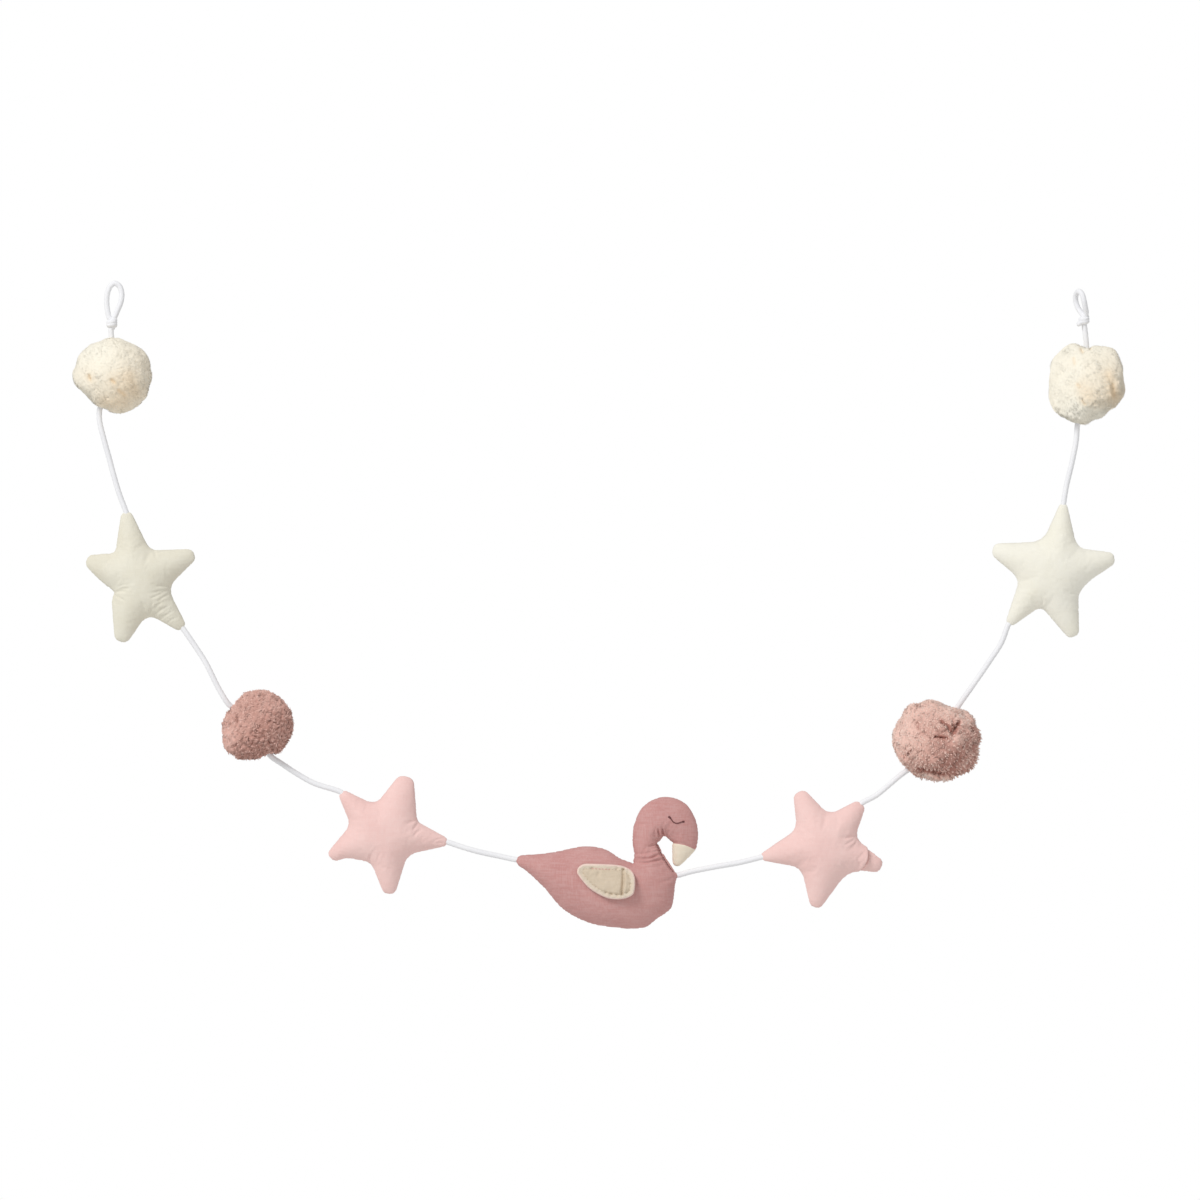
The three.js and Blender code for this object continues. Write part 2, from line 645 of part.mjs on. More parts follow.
// The wing: a thin padded cloth that lies on the body and lifts off at its rounded end
function makeWing() {
  const path = new THREE.Path();
  path.moveTo(...WING_EDGE[0]);
  path.splineThru([...WING_EDGE.slice(1), WING_EDGE[0]].map(vector));
  const panel = cutPanel(alongPath(path, SEAM_STEP), []);
  const { points, triangles, rim } = panel;
  const pad = swell(panel, 1, []);
  const evenFrom = 0.6 * Math.max(...pad); // the pad is evenly thick from here inwards
  const reaches = WING_EDGE.map(([x]) => x);
  const seat = points.map((p) => {
    const share = THREE.MathUtils.mapLinear(p.x, Math.min(...reaches), Math.max(...reaches), 0, 1);
    return bodyFront(p) + WING_SEAT + WING_LIFT * share ** 3;
  });
  const plump = (p) => WING_RIM + (1 - WING_RIM) * Math.min(1, p / evenFrom);
  const thickness = pad.map((p) => WING_THICKNESS * plump(p));
  const vertices = [
    ...points.map((p, i) => [p.x, -seat[i] - thickness[i], p.y]),
    ...points.map((p, i) => [p.x, -seat[i], p.y]),
  ];
  const behind = (i) => i + points.length;
  const faces = triangles.flatMap(([a, b, c]) => [[a, b, c], [behind(a), behind(c), behind(b)]]);
  for (let i = 0; i < rim; i += 1) {
    const next = (i + 1) % rim;
    faces.push([i, behind(i), behind(next)], [i, behind(next), next]);
  }
  return geometryOf(vertices, faces);
}

// Cord
function makeTube(points, step) {
  const curve = new THREE.CatmullRomCurve3(points);
  const section = new THREE.Shape();
  for (let i = 0; i < CORD_SIDES; i += 1) {
    const corner = polar(((i + 0.5) * 360) / CORD_SIDES, CORD_DIAMETER / 2);
    if (i === 0) section.moveTo(corner.x, corner.y);
    else section.lineTo(corner.x, corner.y);
  }
  section.closePath();
  const steps = Math.max(2, Math.round(curve.getLength() / step));
  return new THREE.ExtrudeGeometry(section, { steps, bevelEnabled: false, extrudePath: curve });
}

// Where a stretch of cord meets a star's tip, a pompom's core or the flamingo's seam, and the
// direction out of it
function cordSeat([piece, place]) {
  if (piece === "flamingo") {
    const { at, angle } = FLAMINGO_CORDS[place];
    return { at: vector(FLAMINGO_PLACE).add(vector(at)), angle };
  }
  const star = STARS.find(({ name }) => name === piece);
  if (star) {
    const { angle, reach } = star.seam.find(({ tip }) => tip === place);
    return { at: vector(star.centre).add(polar(angle, reach)), angle };
  }
  const { centre, size, cords } = POMPOMS.find(({ name }) => name === piece);
  const angle = cords[place];
  return { at: vector(centre).add(polar(angle, POMPOM_CORE * radiusTowards(size, angle))), angle };
}

// The cord's square end stands off its seat, so that its corner clears it where the cord leans
function cordEnd(end, next) {
  const { at, angle } = cordSeat(end);
  const lean = polar(angle, 1).angleTo(next.clone().sub(at));
  return at.add(polar(angle, GAP + CORD_CORNER * Math.sin(lean)));
}

function makeStretch({ from, via, to }) {
  const between = via.map(vector);
  const points = [cordEnd(from, between[0]), ...between, cordEnd(to, between.at(-1))];
  return makeTube(points.map(({ x, y }) => new THREE.Vector3(x, 0, y)), CORD_STEP);
}

// An overhand knot: a barrel with two turns of cord crossing over it
function makeKnot() {
  const strand = 0.2 * KNOT_WIDTH;
  const barrelRadius = 0.28 * KNOT_WIDTH;
  const turnRise = 0.17 * KNOT_HEIGHT;
  const turn = () => new THREE.TorusGeometry(KNOT_WIDTH / 2 - strand, strand, 8, 12);
  const barrel = new THREE.CylinderGeometry(barrelRadius, barrelRadius, KNOT_HEIGHT, 10);
  barrel.rotateX(Math.PI / 2);
  const upper = turn().rotateY(24 * DEGREE).translate(0, 0, turnRise);
  const lower = turn().rotateY(-21 * DEGREE).rotateZ(29 * DEGREE).translate(0, 0, -turnRise);
  return toGeometry(wasm.Manifold.union([barrel, upper, lower].map(toSolid)));
}

// The scene graph
function makeMesh(name, geometry, colour, roughness) {
  const material = new THREE.MeshStandardMaterial({ color: COLOURS[colour], roughness, metalness: 0 });
  const mesh = new THREE.Mesh(geometry, material);
  mesh.name = name;
  return mesh;
}

const garland = new THREE.Group();

for (const star of STARS) {
  const mesh = makeMesh(star.name, makeStar(star), star.colour, CLOTH_ROUGHNESS);
  mesh.position.set(star.centre[0], 0, star.centre[1]);
  garland.add(mesh);
}

POMPOMS.forEach((pompom, i) => {
  const mesh = makeMesh(pompom.name, makePompom(pompom, i + 1), pompom.colour, YARN_ROUGHNESS);
  mesh.position.set(pompom.centre[0], 0, pompom.centre[1]);
  garland.add(mesh);
});

const bodyGeometry = toGeometry(flamingoSolid.subtract(beakBlock(0)));
const beakGeometry = toGeometry(flamingoSolid.intersect(beakBlock(GAP)));
const flamingo = new THREE.Group();
flamingo.position.set(FLAMINGO_PLACE[0], 0, FLAMINGO_PLACE[1]);
flamingo.add(makeMesh("flamingo_body", bodyGeometry, "dusky", CLOTH_ROUGHNESS));
flamingo.add(makeMesh("flamingo_beak", beakGeometry, "beak", CLOTH_ROUGHNESS));
flamingo.add(makeMesh("flamingo_wing", makeWing(), "wing", CLOTH_ROUGHNESS));
garland.add(flamingo);

for (const stretch of CORDS) {
  garland.add(makeMesh(stretch.name, makeStretch(stretch), "cord", YARN_ROUGHNESS));
}

for (const { side, knot, knotTurn, stem, loop } of ENDS) {
  const spatial = (points) => points.map((p) => new THREE.Vector3(...p));
  const knotMesh = makeMesh("knot_" + side, makeKnot(), "cord", YARN_ROUGHNESS);
  knotMesh.position.set(...knot);
  knotMesh.rotation.z = knotTurn * DEGREE;
  garland.add(knotMesh);
  garland.add(makeMesh("stem_" + side, makeTube(spatial(stem), CORD_STEP), "cord", YARN_ROUGHNESS));
  garland.add(makeMesh("loop_" + side, makeTube(spatial(loop), LOOP_STEP), "cord", YARN_ROUGHNESS));
}

export default garland;
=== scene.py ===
"""Looks of the nursery garland: muslin stars, a muslin flamingo and yarn pompoms on a cotton cord.

Shapes are worked out in millimetres in the row's frame (X along the garland, -Y to the front, Z up)
and become metres when a mesh is made.
"""

import math

import bpy
import numpy as np
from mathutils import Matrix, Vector, noise
from mathutils.bvhtree import BVHTree
from mathutils.geometry import delaunay_2d_cdt


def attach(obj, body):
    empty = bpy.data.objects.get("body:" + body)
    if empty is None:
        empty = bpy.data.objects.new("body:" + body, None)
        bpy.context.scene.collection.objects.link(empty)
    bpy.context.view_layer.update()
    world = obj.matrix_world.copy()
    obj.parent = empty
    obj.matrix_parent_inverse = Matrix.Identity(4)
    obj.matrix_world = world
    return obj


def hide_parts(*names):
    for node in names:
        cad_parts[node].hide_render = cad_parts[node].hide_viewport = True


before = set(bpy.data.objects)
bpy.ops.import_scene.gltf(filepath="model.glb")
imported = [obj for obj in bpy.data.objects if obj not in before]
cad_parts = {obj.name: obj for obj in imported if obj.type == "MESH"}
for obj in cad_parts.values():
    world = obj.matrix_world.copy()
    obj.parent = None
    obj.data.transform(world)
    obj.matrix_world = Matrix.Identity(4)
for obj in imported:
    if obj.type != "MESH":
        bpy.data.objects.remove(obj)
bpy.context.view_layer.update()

MM = 0.001
DEGREE = math.pi / 180
PHOTO_WIDTH = 1038.0  # what the photograph's whole width shows
PHOTO_MIDDLE = (420.8, -271.6)

# Cord
CORD_DIAMETER = 4.7
CORD_SIDES = 24
CORD_STEP = 0.6
BRAID_ROWS = 6
BRAID_LAY = 4.2
BRAID_RELIEF = 0.07
CORD_CORNER = 0.33 * CORD_DIAMETER  # how much further out a stretch bends if it leaves at a slant
END_TAPER = 1.2
KNOT_RADIUS = 2.05
TAIL_RADIUS = 2.0
GAP = 0.3  # how far out of its piece a stretch begins to bend
POMPOM_CORE = 0.74  # where the cord meets a pompom, as a share of its half size

# Stuffed pieces
NET_STEP = 1.5
NET_CLEARANCE = 0.62  # how near a line the net's own points come, in steps
PATTERN_EASE = 4.2
EASE_SMOOTHING = 5.0
EASE_ROUNDS = 30
EDGES_APART = 0.9  # how near two edges of a pattern may come
START_FULLNESS = 0.35
SEAM_ROUNDS = 3
SEAM_PULL = 0.9
FILL = 0.8
TIP_ROUND = 0.44
BEND_DEPTH = 0.22
SEAM_DEPTH = 0.55
SEAM_REACH = 1.1
STITCH = 2.6
LINE_STEP = 0.8

# Of each star: its middle in X, Z; its seam, row by row the name of a tip (None for a bend between
# two tips), its angle, its distance from the middle and its width; half its thickness; how far the
# seam stands outside its line; and how much of the cloth's folds is left
STARS = {
    "star_cream_left": {
        "slot": "cream_muslin", "look": "cream_muslin",
        "centre": (23.5, -253.8),
        "seam": [
            ("right", 25.4, 51, 9), (None, 73, 27.7, 8),
            ("top", 102.3, 59.3, 8), (None, 134, 32.3, 5),
            ("left", 160.2, 49.4, 9), (None, 184, 36, 12), (None, 206, 25, 4), (None, 215, 31.4, 5),
            ("lower_left", 252.4, 56.4, 10.5), (None, 281, 32, 12),
            ("lower_right", 310.7, 55.5, 8), (None, 343, 26.2, 12),
        ],
        "half": 15.9, "outset": 0.65, "slack": 0.6,
    },
    "star_pink_left": {
        "slot": "pink_muslin", "look": "pink_muslin",
        "centre": (233.8, -473.2),
        "seam": [
            ("top", 68.1, 52.3, 12), (None, 99, 28.3, 4), (None, 115, 29.6, 5),
            ("upper_left", 136.4, 50.5, 6), (None, 166, 30.6, 8),
            ("lower_left", 204.6, 50.5, 9), (None, 213, 39, 5), (None, 247, 28.5, 7),
            ("bottom", 275.4, 52.4, 9), (None, 318, 29.1, 10),
            ("right", 351.9, 55, 6), (None, 19, 30.9, 5),
        ],
        "half": 16.2, "outset": 0.85, "slack": 0.5,
    },
    "star_pink_right": {
        "slot": "pink_muslin", "look": "pink_muslin",
        "centre": (616.1, -482.6),
        "seam": [
            ("upper_right", 48.4, 46.6, 9), (None, 84, 27, 10),
            ("upper_left", 117.4, 50.7, 10.5), (None, 153, 29.8, 9),
            ("left", 191.6, 56.6, 6), (None, 224, 31.4, 10),
            ("bottom", 260.6, 55.6, 8.5), (None, 311, 32.8, 14),
            ("lower_right", 337.5, 52.2, 11), (None, 12, 27.4, 9),
        ],
        "half": 16.7, "outset": 0.45, "slack": 0.6,
    },
    "star_cream_right": {
        # its look is the cream muslin made lighter: painted light
        "slot": "cream_muslin", "look": "pale_muslin",
        "centre": (811, -248.3),
        "seam": [
            ("right", 13.4, 56.3, 9.5), (None, 44, 33, 9),
            ("top", 79.9, 61, 6), (None, 104.5, 30.6, 12),
            ("left", 157.6, 54.6, 10), (None, 191, 29.4, 9),
            ("lower_left", 230.4, 57.2, 7), (None, 253, 31.3, 7),
            ("lower_right", 289.8, 58.5, 9.5), (None, 323, 30.6, 6), (None, 348, 35, 8),
        ],
        "half": 17.2, "outset": 0.35, "slack": 0.45,
    },
}


# Flat geometry
def polar(angle, reach):
    return np.array([reach * math.cos(angle * DEGREE), reach * math.sin(angle * DEGREE)])


def unit(v):
    return v / np.linalg.norm(v, axis=-1, keepdims=True)


def distances(points):
    """How far along a polyline each of its points lies."""
    return np.concatenate([[0], np.cumsum(np.linalg.norm(np.diff(points, axis=0), axis=1))])


def in_front(place):
    """A place in X, Z as one in X, Y, Z."""
    return np.array([place[0], 0, place[1]])


def length_of(points):
    return float(distances(points)[-1])


def spots_at(line, far):
    """The places at some distances along a polyline."""
    along = distances(line)
    return np.stack([np.interp(far, along, column) for column in line.T], axis=-1)


def evenly(points, step):
    """Points at even spacing along a polyline, from its first to its last."""
    points = np.asarray(points, float)
    long = length_of(points)
    return spots_at(points, np.linspace(0, long, max(2, round(long / step) + 1)))


def smooth_path(points, step, closed=False):
    """Even points on the centripetal Catmull-Rom curve through the given ones."""
    p = np.asarray(points, float)
    p = np.vstack([p[-1], p, p[:2]]) if closed else np.vstack([2 * p[0] - p[1], p, 2 * p[-1] - p[-2]])
    dense = []
    for a, b, c, d in zip(p, p[1:], p[2:], p[3:]):
        t0 = 0.0
        t1 = t0 + np.linalg.norm(b - a) ** 0.5
        t2 = t1 + np.linalg.norm(c - b) ** 0.5
        t3 = t2 + np.linalg.norm(d - c) ** 0.5
        t = np.linspace(t1, t2, 24, endpoint=False)[:, None]

        def blend(first, last, start, end):
            return (end - t) / (end - start) * first + (t - start) / (end - start) * last

        ab, bc, cd = blend(a, b, t0, t1), blend(b, c, t1, t2), blend(c, d, t2, t3)
        dense.append(blend(blend(ab, bc, t0, t2), blend(bc, cd, t1, t3), t1, t2))
    return evenly(np.vstack([*dense, p[-2]]), step)


def bell(apart, width):
    return np.exp(-((apart / width) ** 2))


def star_outline(seam, step):
    """The seam's points from tip to tip, each corner rounded, anticlockwise."""
    places = [polar(angle, reach if tip else reach - BEND_DEPTH * size) for tip, angle, reach, size in seam]
    corners = []
    for i, (tip, angle, reach, size) in enumerate(seam):
        at = places[i]
        if not tip:
            corners.append((at, size, None))
            continue
        root = (places[i - 1] + places[(i + 1) % len(places)]) / 2
        along = (at - root) / np.linalg.norm(at - root)
        aside = np.array([-along[1], along[0]]) * size / 2
        corners.append((at - aside, TIP_ROUND * size, "last"))
        corners.append((at + aside, TIP_ROUND * size, "first"))
    corners = corners[1:] + corners[:1]
    stretches = []
    for i, (at, size, mark) in enumerate(corners):
        def towards(other):
            way = other - at
            far = np.linalg.norm(way)
            return at + way / far * min(size, 0.49 * far)

        before, after = corners[i - 1], corners[(i + 1) % len(corners)]
        if mark == "first":
            stretches.append([(before[0] + at) / 2])
        start, end = towards(before[0]), towards(after[0])
        for t in np.linspace(0, 1, 12):
            stretches[-1].append((1 - t) ** 2 * start + 2 * t * (1 - t) * at + t * t * end)
        if mark == "last":
            stretches[-1].append((at + after[0]) / 2)
    return np.vstack([evenly(stretch, step)[:-1] for stretch in stretches])


def is_inside(points, outline):
    a, b = outline, np.roll(outline, -1, axis=0)
    inside = np.zeros(len(points), bool)
    for (ax, ay), (bx, by) in zip(a, b):
        crosses = (ay > points[:, 1]) != (by > points[:, 1])
        if crosses.any():
            at = ax + (bx - ax) * (points[:, 1] - ay) / (by - ay)
            inside ^= crosses & (points[:, 0] < at)
    return inside


def along_line(points, line):
    """How far points are from a line, and where their nearest places lie on it, from 0 to 1."""
    start = distances(line)
    apart, where = np.full(len(points), np.inf), np.zeros(len(points))
    for p, q, first in zip(line, line[1:], start):
        way = q - p
        share = np.clip(((points - p) @ way) / max(way @ way, 1e-12), 0, 1)
        gap = np.linalg.norm(points - p - share[:, None] * way, axis=1)
        closer = gap < apart
        apart[closer], where[closer] = gap[closer], (first + share * np.linalg.norm(way))[closer]
    return apart, where / start[-1]


def distance_to(points, line):
    return along_line(points, line)[0]


def ring(line):
    """A closed line, with its first point again at its end."""
    return np.vstack([line, line[:1]])


def normals_of_outline(outline, reach):
    """Outward directions at a closed anticlockwise outline's points, smoothed over some neighbours."""
    way = np.roll(outline, -1, axis=0) - np.roll(outline, 1, axis=0)
    out = unit(np.stack([way[:, 1], -way[:, 0]], axis=1))
    weights = np.hanning(2 * reach + 3)[1:-1]
    return unit(sum(w * np.roll(out, k - reach, axis=0) for k, w in enumerate(weights)))


def cut_panel(outline, step, rows=()):
    """Even triangles over a flat outline, whose own points come first, and along inner rows."""
    low, high = outline.min(axis=0), outline.max(axis=0)
    rise = step * math.sqrt(3) / 2
    grid = []
    for row in range(int((high[1] - low[1]) / rise) + 2):
        x = np.arange(low[0] + (row % 2) * step / 2, high[0], step)
        grid.append(np.stack([x, np.full(len(x), low[1] + row * rise)], axis=1))
    grid = np.vstack(grid)
    grid = grid[is_inside(grid, outline)]
    for line in (ring(outline), *rows):
        grid = grid[distance_to(grid, line) > NET_CLEARANCE * step]
    count = len(outline)
    edges = [(i, (i + 1) % count) for i in range(count)]
    first = count
    for row in rows:
        edges += [(first + i, first + i + 1) for i in range(len(row) - 1)]
        first += len(row)
    flat = [Vector(p) for p in np.vstack([outline, *rows, grid])]
    made, _, faces, origins, _, _ = delaunay_2d_cdt(flat, edges, [], 1, 1e-6, True)
    number = {}
    for new, olds in enumerate(origins):
        for old in olds:
            number[old] = new
    order = [number[i] for i in range(len(flat)) if i in number]
    place = {new: i for i, new in enumerate(dict.fromkeys(order))}
    points = np.array([made[new][:] for new in place])
    triangles = np.array([[place[i] for i in face] for face in faces])
    triangles = triangles[is_inside(points[triangles].mean(axis=1), outline)]
    a, b, c = (points[triangles[:, k]] for k in range(3))
    turn = (b - a)[:, 0] * (c - a)[:, 1] - (b - a)[:, 1] * (c - a)[:, 0]
    triangles[turn < 0] = triangles[turn < 0][:, ::-1]
    return points, triangles


# Nets of points
def pulls_of(points, triangles):
    """Cotangent weights and areas of a flat or bent net."""
    pairs, weights = [], []
    loads = np.zeros(len(points))
    for k in range(3):
        a, b, c = (triangles[:, (k + j) % 3] for j in range(3))
        to_a, to_b = points[a] - points[c], points[b] - points[c]
        dot = (to_a * to_b).sum(axis=1)
        area = np.sqrt(np.maximum((to_a**2).sum(1) * (to_b**2).sum(1) - dot**2, 1e-18))
        pairs.append(np.stack([a, b], axis=1))
        weights.append(np.maximum(dot / area / 2, 0.02))
        loads += np.bincount(c, area / 6, len(points))
    return np.vstack(pairs), np.concatenate(weights), loads


def solve(pairs, weights, loads, fixed, values, rounds=600):
    """Values of a net under load, given at its fixed points (conjugate gradients)."""
    count = len(loads)
    i, j = pairs.T
    diagonal = np.bincount(i, weights, count) + np.bincount(j, weights, count)

    def stretch(x):
        return diagonal * x - np.bincount(i, weights * x[j], count) - np.bincount(j, weights * x[i], count)

    free = ~fixed
    x = np.where(fixed, values, 0.0)
    left = (loads - stretch(x)) * free
    step = left / diagonal
    size = left @ step
    for _ in range(rounds):
        if size < 1e-14:
            break
        pushed = stretch(step) * free
        rate = size / (step @ pushed)
        x = x + rate * step
        left = left - rate * pushed
        better = left / diagonal
        size, old = left @ better, size
        step = better + size / old * step
    return x


def swelling(points, triangles, rim):
    pairs, weights, loads = pulls_of(points, triangles)
    fixed = np.arange(len(points)) < rim
    return np.sqrt(2 * np.maximum(solve(pairs, weights, loads, fixed, np.zeros(len(points))), 0))


def both_sides(points, triangles, rim, front, back):
    """A closed net of two panels that share the rim's points."""
    inner = len(points) - rim
    places = np.vstack([
        np.stack([points[:, 0], -front, points[:, 1]], axis=1),
        np.stack([points[rim:, 0], back[rim:], points[rim:, 1]], axis=1),
    ])
    behind = np.where(triangles < rim, triangles, triangles + inner)
    return places, np.vstack([triangles, behind[:, ::-1]])


def refine(points, triangles):
    """One step of Loop subdivision of a closed net. Old points keep their numbers."""
    sides = np.sort(triangles[:, [[0, 1], [1, 2], [2, 0]]].reshape(-1, 2), axis=1)
    edges, where = np.unique(sides, axis=0, return_inverse=True)
    where = where.reshape(-1)
    opposite = triangles[:, [2, 0, 1]].reshape(-1)
    across = np.zeros((len(edges), 3))
    np.add.at(across, where, points[opposite])
    per_edge = np.bincount(where, minlength=len(edges))
    ends = points[edges].sum(axis=1)
    middles = np.where((per_edge == 2)[:, None], 3 / 8 * ends + across / 8, ends / 2)
    count = len(points)
    around = np.zeros((count, 3))
    np.add.at(around, edges[:, 0], points[edges[:, 1]])
    np.add.at(around, edges[:, 1], points[edges[:, 0]])
    number = np.bincount(edges.reshape(-1), minlength=count)
    pull = (5 / 8 - (3 / 8 + np.cos(2 * np.pi / number) / 4) ** 2) / number
    rounded = points * (1 - number * pull)[:, None] + around * pull[:, None]
    border = np.unique(edges[per_edge != 2])
    rounded[border] = points[border]
    middle = count + where.reshape(-1, 3)
    a, b, c = triangles.T
    ab, bc, ca = middle.T
    quarters = ((a, ab, ca), (ab, b, bc), (ca, bc, c), (ab, bc, ca))
    finer = np.vstack([np.stack(quarter, axis=1) for quarter in quarters])
    return np.vstack([rounded, middles]), finer, edges


def vertex_normals(points, triangles):
    a, b, c = (points[triangles[:, k]] for k in range(3))
    faces = np.cross(b - a, c - a)
    normals = np.zeros_like(points)
    for k in range(3):
        np.add.at(normals, triangles[:, k], faces)
    return normals / np.maximum(np.linalg.norm(normals, axis=1), 1e-12)[:, None]


# Meshes
def put_in_scene(name, data):
    obj = bpy.data.objects.new(name, data)
    bpy.context.scene.collection.objects.link(obj)
    return obj


def make_object(name, points, faces, *materials, face_material=None, painted_shade_levels=None, normals=None):
    mesh = bpy.data.meshes.new(name)
    mesh.from_pydata((np.asarray(points) * MM).tolist(), [], [list(map(int, f)) for f in faces])
    for material in materials:
        mesh.materials.append(material)
    if face_material is not None:
        mesh.polygons.foreach_set("material_index", np.asarray(face_material, np.int32))
    if painted_shade_levels is not None:
        mesh.attributes.new("tip", "FLOAT", "POINT").data.foreach_set("value", np.asarray(painted_shade_levels, np.float32))
    mesh.shade_smooth()
    mesh.update()
    if normals is not None:
        mesh.normals_split_custom_set_from_vertices(normals.tolist())
    return put_in_scene(name, mesh)


def dress(piece, slot, *nodes, fill=None):
    """Attaches a piece to the root and hides the parts that it stands for; its slot and fill are not used."""
    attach(piece, "root")
    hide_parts(*nodes)


CLOTH_SCALE = 0.01  # ten times the real size, where Cloth is steadier
CLOTH_FRAMES = 20
CLOTH = {
    "quality": 5, "mass": 0.2, "air_damping": 4, "tension_stiffness": 25, "compression_stiffness": 8,
    "shear_stiffness": 6, "bending_stiffness": 2, "use_pressure": True, "uniform_pressure_force": 6,
}


def inflate(name, flat, start, triangles):
    """Fills a sewn cover, cut to the flat shape, with air until it is taut (Blender's Cloth)."""
    mesh = bpy.data.meshes.new(name)
    mesh.from_pydata((start * CLOTH_SCALE).tolist(), [], triangles.tolist())
    obj = put_in_scene(name, mesh)
    obj.shape_key_add(name="Basis")
    cut = obj.shape_key_add(name="Cut")
    cut.data.foreach_set("co", (flat * CLOTH_SCALE).reshape(-1))
    modifier = obj.modifiers.new("Cloth", "CLOTH")
    modifier.settings.rest_shape_key = cut
    for key, value in CLOTH.items():
        setattr(modifier.settings, key, value)
    modifier.settings.effector_weights.gravity = 0
    modifier.collision_settings.use_collision = False
    modifier.point_cache.frame_start = 1
    modifier.point_cache.frame_end = CLOTH_FRAMES
    for number in range(1, CLOTH_FRAMES + 1):
        bpy.context.scene.frame_set(number)
    result = obj.evaluated_get(bpy.context.evaluated_depsgraph_get()).to_mesh()
    places = np.empty(3 * len(result.vertices))
    result.vertices.foreach_get("co", places)
    obj.to_mesh_clear()
    bpy.data.objects.remove(obj)
    bpy.data.meshes.remove(mesh)
    bpy.context.scene.frame_set(1)
    return places.reshape(-1, 3) / CLOTH_SCALE


def settle_seam(places, faces, rim, target):
    """Moves a cover so that its seam lies on the target outline, and the cloth between goes along."""
    pairs = np.vstack([faces[:, [0, 1]], faces[:, [1, 2]], faces[:, [2, 0]]])
    fixed = np.arange(len(places)) < rim
    shift = np.zeros_like(places)
    shift[:rim] = np.stack([target[:, 0], np.zeros(rim), target[:, 1]], axis=1) - places[:rim]
    even = np.ones(len(pairs))
    rest = np.zeros(len(places))
    columns = [solve(pairs, even, rest, fixed, way) if np.abs(way).max() > 1e-6 else rest for way in shift.T]
    return places + np.stack(columns, axis=1)


def pattern_of(outline, ease):
    """The flat shape that a cover is cut to: the outline let out by the ease, less in tight bends
    and where two of its edges come near each other."""
    ease = np.broadcast_to(np.asarray(ease, float), len(outline)).copy()
    out = normals_of_outline(outline, round(EASE_SMOOTHING / NET_STEP))
    side = np.roll(outline, -1, axis=0) - outline
    number = np.arange(len(outline))
    between = np.abs(number[:, None] - number[None])
    others = np.minimum(between, len(outline) - between) > 8
    for _ in range(EASE_ROUNDS):
        pattern = outline + ease[:, None] * out
        tight = ((np.roll(pattern, -1, axis=0) - pattern) * side).sum(axis=1) < 0.35 * (side**2).sum(axis=1)
        apart = np.linalg.norm(pattern[:, None] - pattern[None], axis=2) + 99 * ~others
        tight |= apart.min(axis=1) < EDGES_APART
        if not tight.any():
            break
        ease[np.any([np.roll(tight, k) for k in range(-3, 5)], axis=0)] *= 0.85
    return pattern


def row_of(pattern, outline, row):
    """A seam across a panel: from one of its edge's points by way of a place to another."""
    first, via, last = row
    moved = (pattern[first] - outline[first] + pattern[last] - outline[last]) / 2
    return smooth_path([pattern[first], via + moved, pattern[last]], NET_STEP)


def stuffed(name, outline, ease, half, outset, slack, rows=()):
    """A sewn and stuffed cover whose seam lies on the outline: points, triangles, which lie on the
    seam, and each point's place on the flat pattern. The fuller the stuffing, the less slack is
    left of the folds that the cloth falls into."""
    rim = len(outline)
    pattern = pattern_of(outline, ease)
    rows = [row_of(pattern, outline, row) for row in rows]
    points, triangles = cut_panel(pattern, NET_STEP, rows)
    height = swelling(points, triangles, rim)
    flat, faces = both_sides(points, triangles, rim, 0 * height, 0 * height)

    def fitted(places):
        places[:, 1] *= np.where(places[:, 1] < 0, -half / places[:, 1].min(), half / places[:, 1].max())
        return settle_seam(places, faces, rim, outline)

    places = fitted(both_sides(points, triangles, rim, height, height)[0])
    low = START_FULLNESS * height
    start, _ = both_sides(points, triangles, rim, low, low)
    places += slack * (fitted(inflate(name, flat, start, faces)) - places)
    count = len(places)
    target = outline + np.reshape(outset, (-1, 1)) * normals_of_outline(outline, 1)
    wanted = target.copy()
    coarse = faces
    for _ in range(SEAM_ROUNDS):
        places = settle_seam(places, coarse, rim, wanted)
        finer, faces, edges = refine(places, coarse)
        wanted += SEAM_PULL * (target - finer[:rim, [0, 2]])
    places = finer
    step = np.abs(edges[:, 0] - edges[:, 1])
    halfway = (edges < rim).all(axis=1) & ((step == 1) | (step == rim - 1))
    seam = np.concatenate([np.arange(count) < rim, halfway])
    flat = np.vstack([flat, flat[edges].mean(axis=1)])
    return places, faces, seam, flat


def sink_seam(places, seam, outline):
    """Draws the seam in between the two panels' bulging edges, a little more at every stitch."""
    out = normals_of_outline(outline, 1)
    along = distances(outline)
    near = np.flatnonzero(np.abs(places[:, 1]) < 4)
    line = places[seam]
    result = places.copy()
    for part in np.array_split(near, max(1, len(near) // 2000)):
        apart = np.linalg.norm(places[part][:, None] - line[None], axis=2).min(axis=1)
        nearest = np.linalg.norm(places[part][:, None, [0, 2]] - outline[None], axis=2).argmin(axis=1)
        stitch = 1 + 0.3 * np.cos(2 * np.pi * along[nearest] / STITCH)
        depth = SEAM_DEPTH * stitch * bell(apart, SEAM_REACH)
        result[np.ix_(part, [0, 2])] -= depth[:, None] * out[nearest]
    return result


def crease(places, faces, creases):
    """Sinks folds into a cover, each given by its line in X, Z, its depth, its width and its side."""
    normals = vertex_normals(places, faces)
    flat = places[:, [0, 2]]
    sunk = np.zeros(len(places))
    for line, depth, width, side in creases:
        line = smooth_path(line, LINE_STEP)
        reach = length_of(line) / 2 + 4 * width
        near = np.flatnonzero(np.linalg.norm(flat - line.mean(axis=0), axis=1) < reach)
        apart, where = along_line(flat[near], line)
        fade = np.minimum(1, 0.2 + 3 * where) * np.minimum(1, 3.2 * (1 - where) + 0.1)
        profile = bell(apart, width) - 0.22 * bell(apart - 2 * width, width)
        on_side = np.clip(0.5 - side * normals[near, 1] * 2, 0, 1) if side else 1
        sunk[near] += depth * fade * profile * on_side
    return places - sunk[:, None] * normals


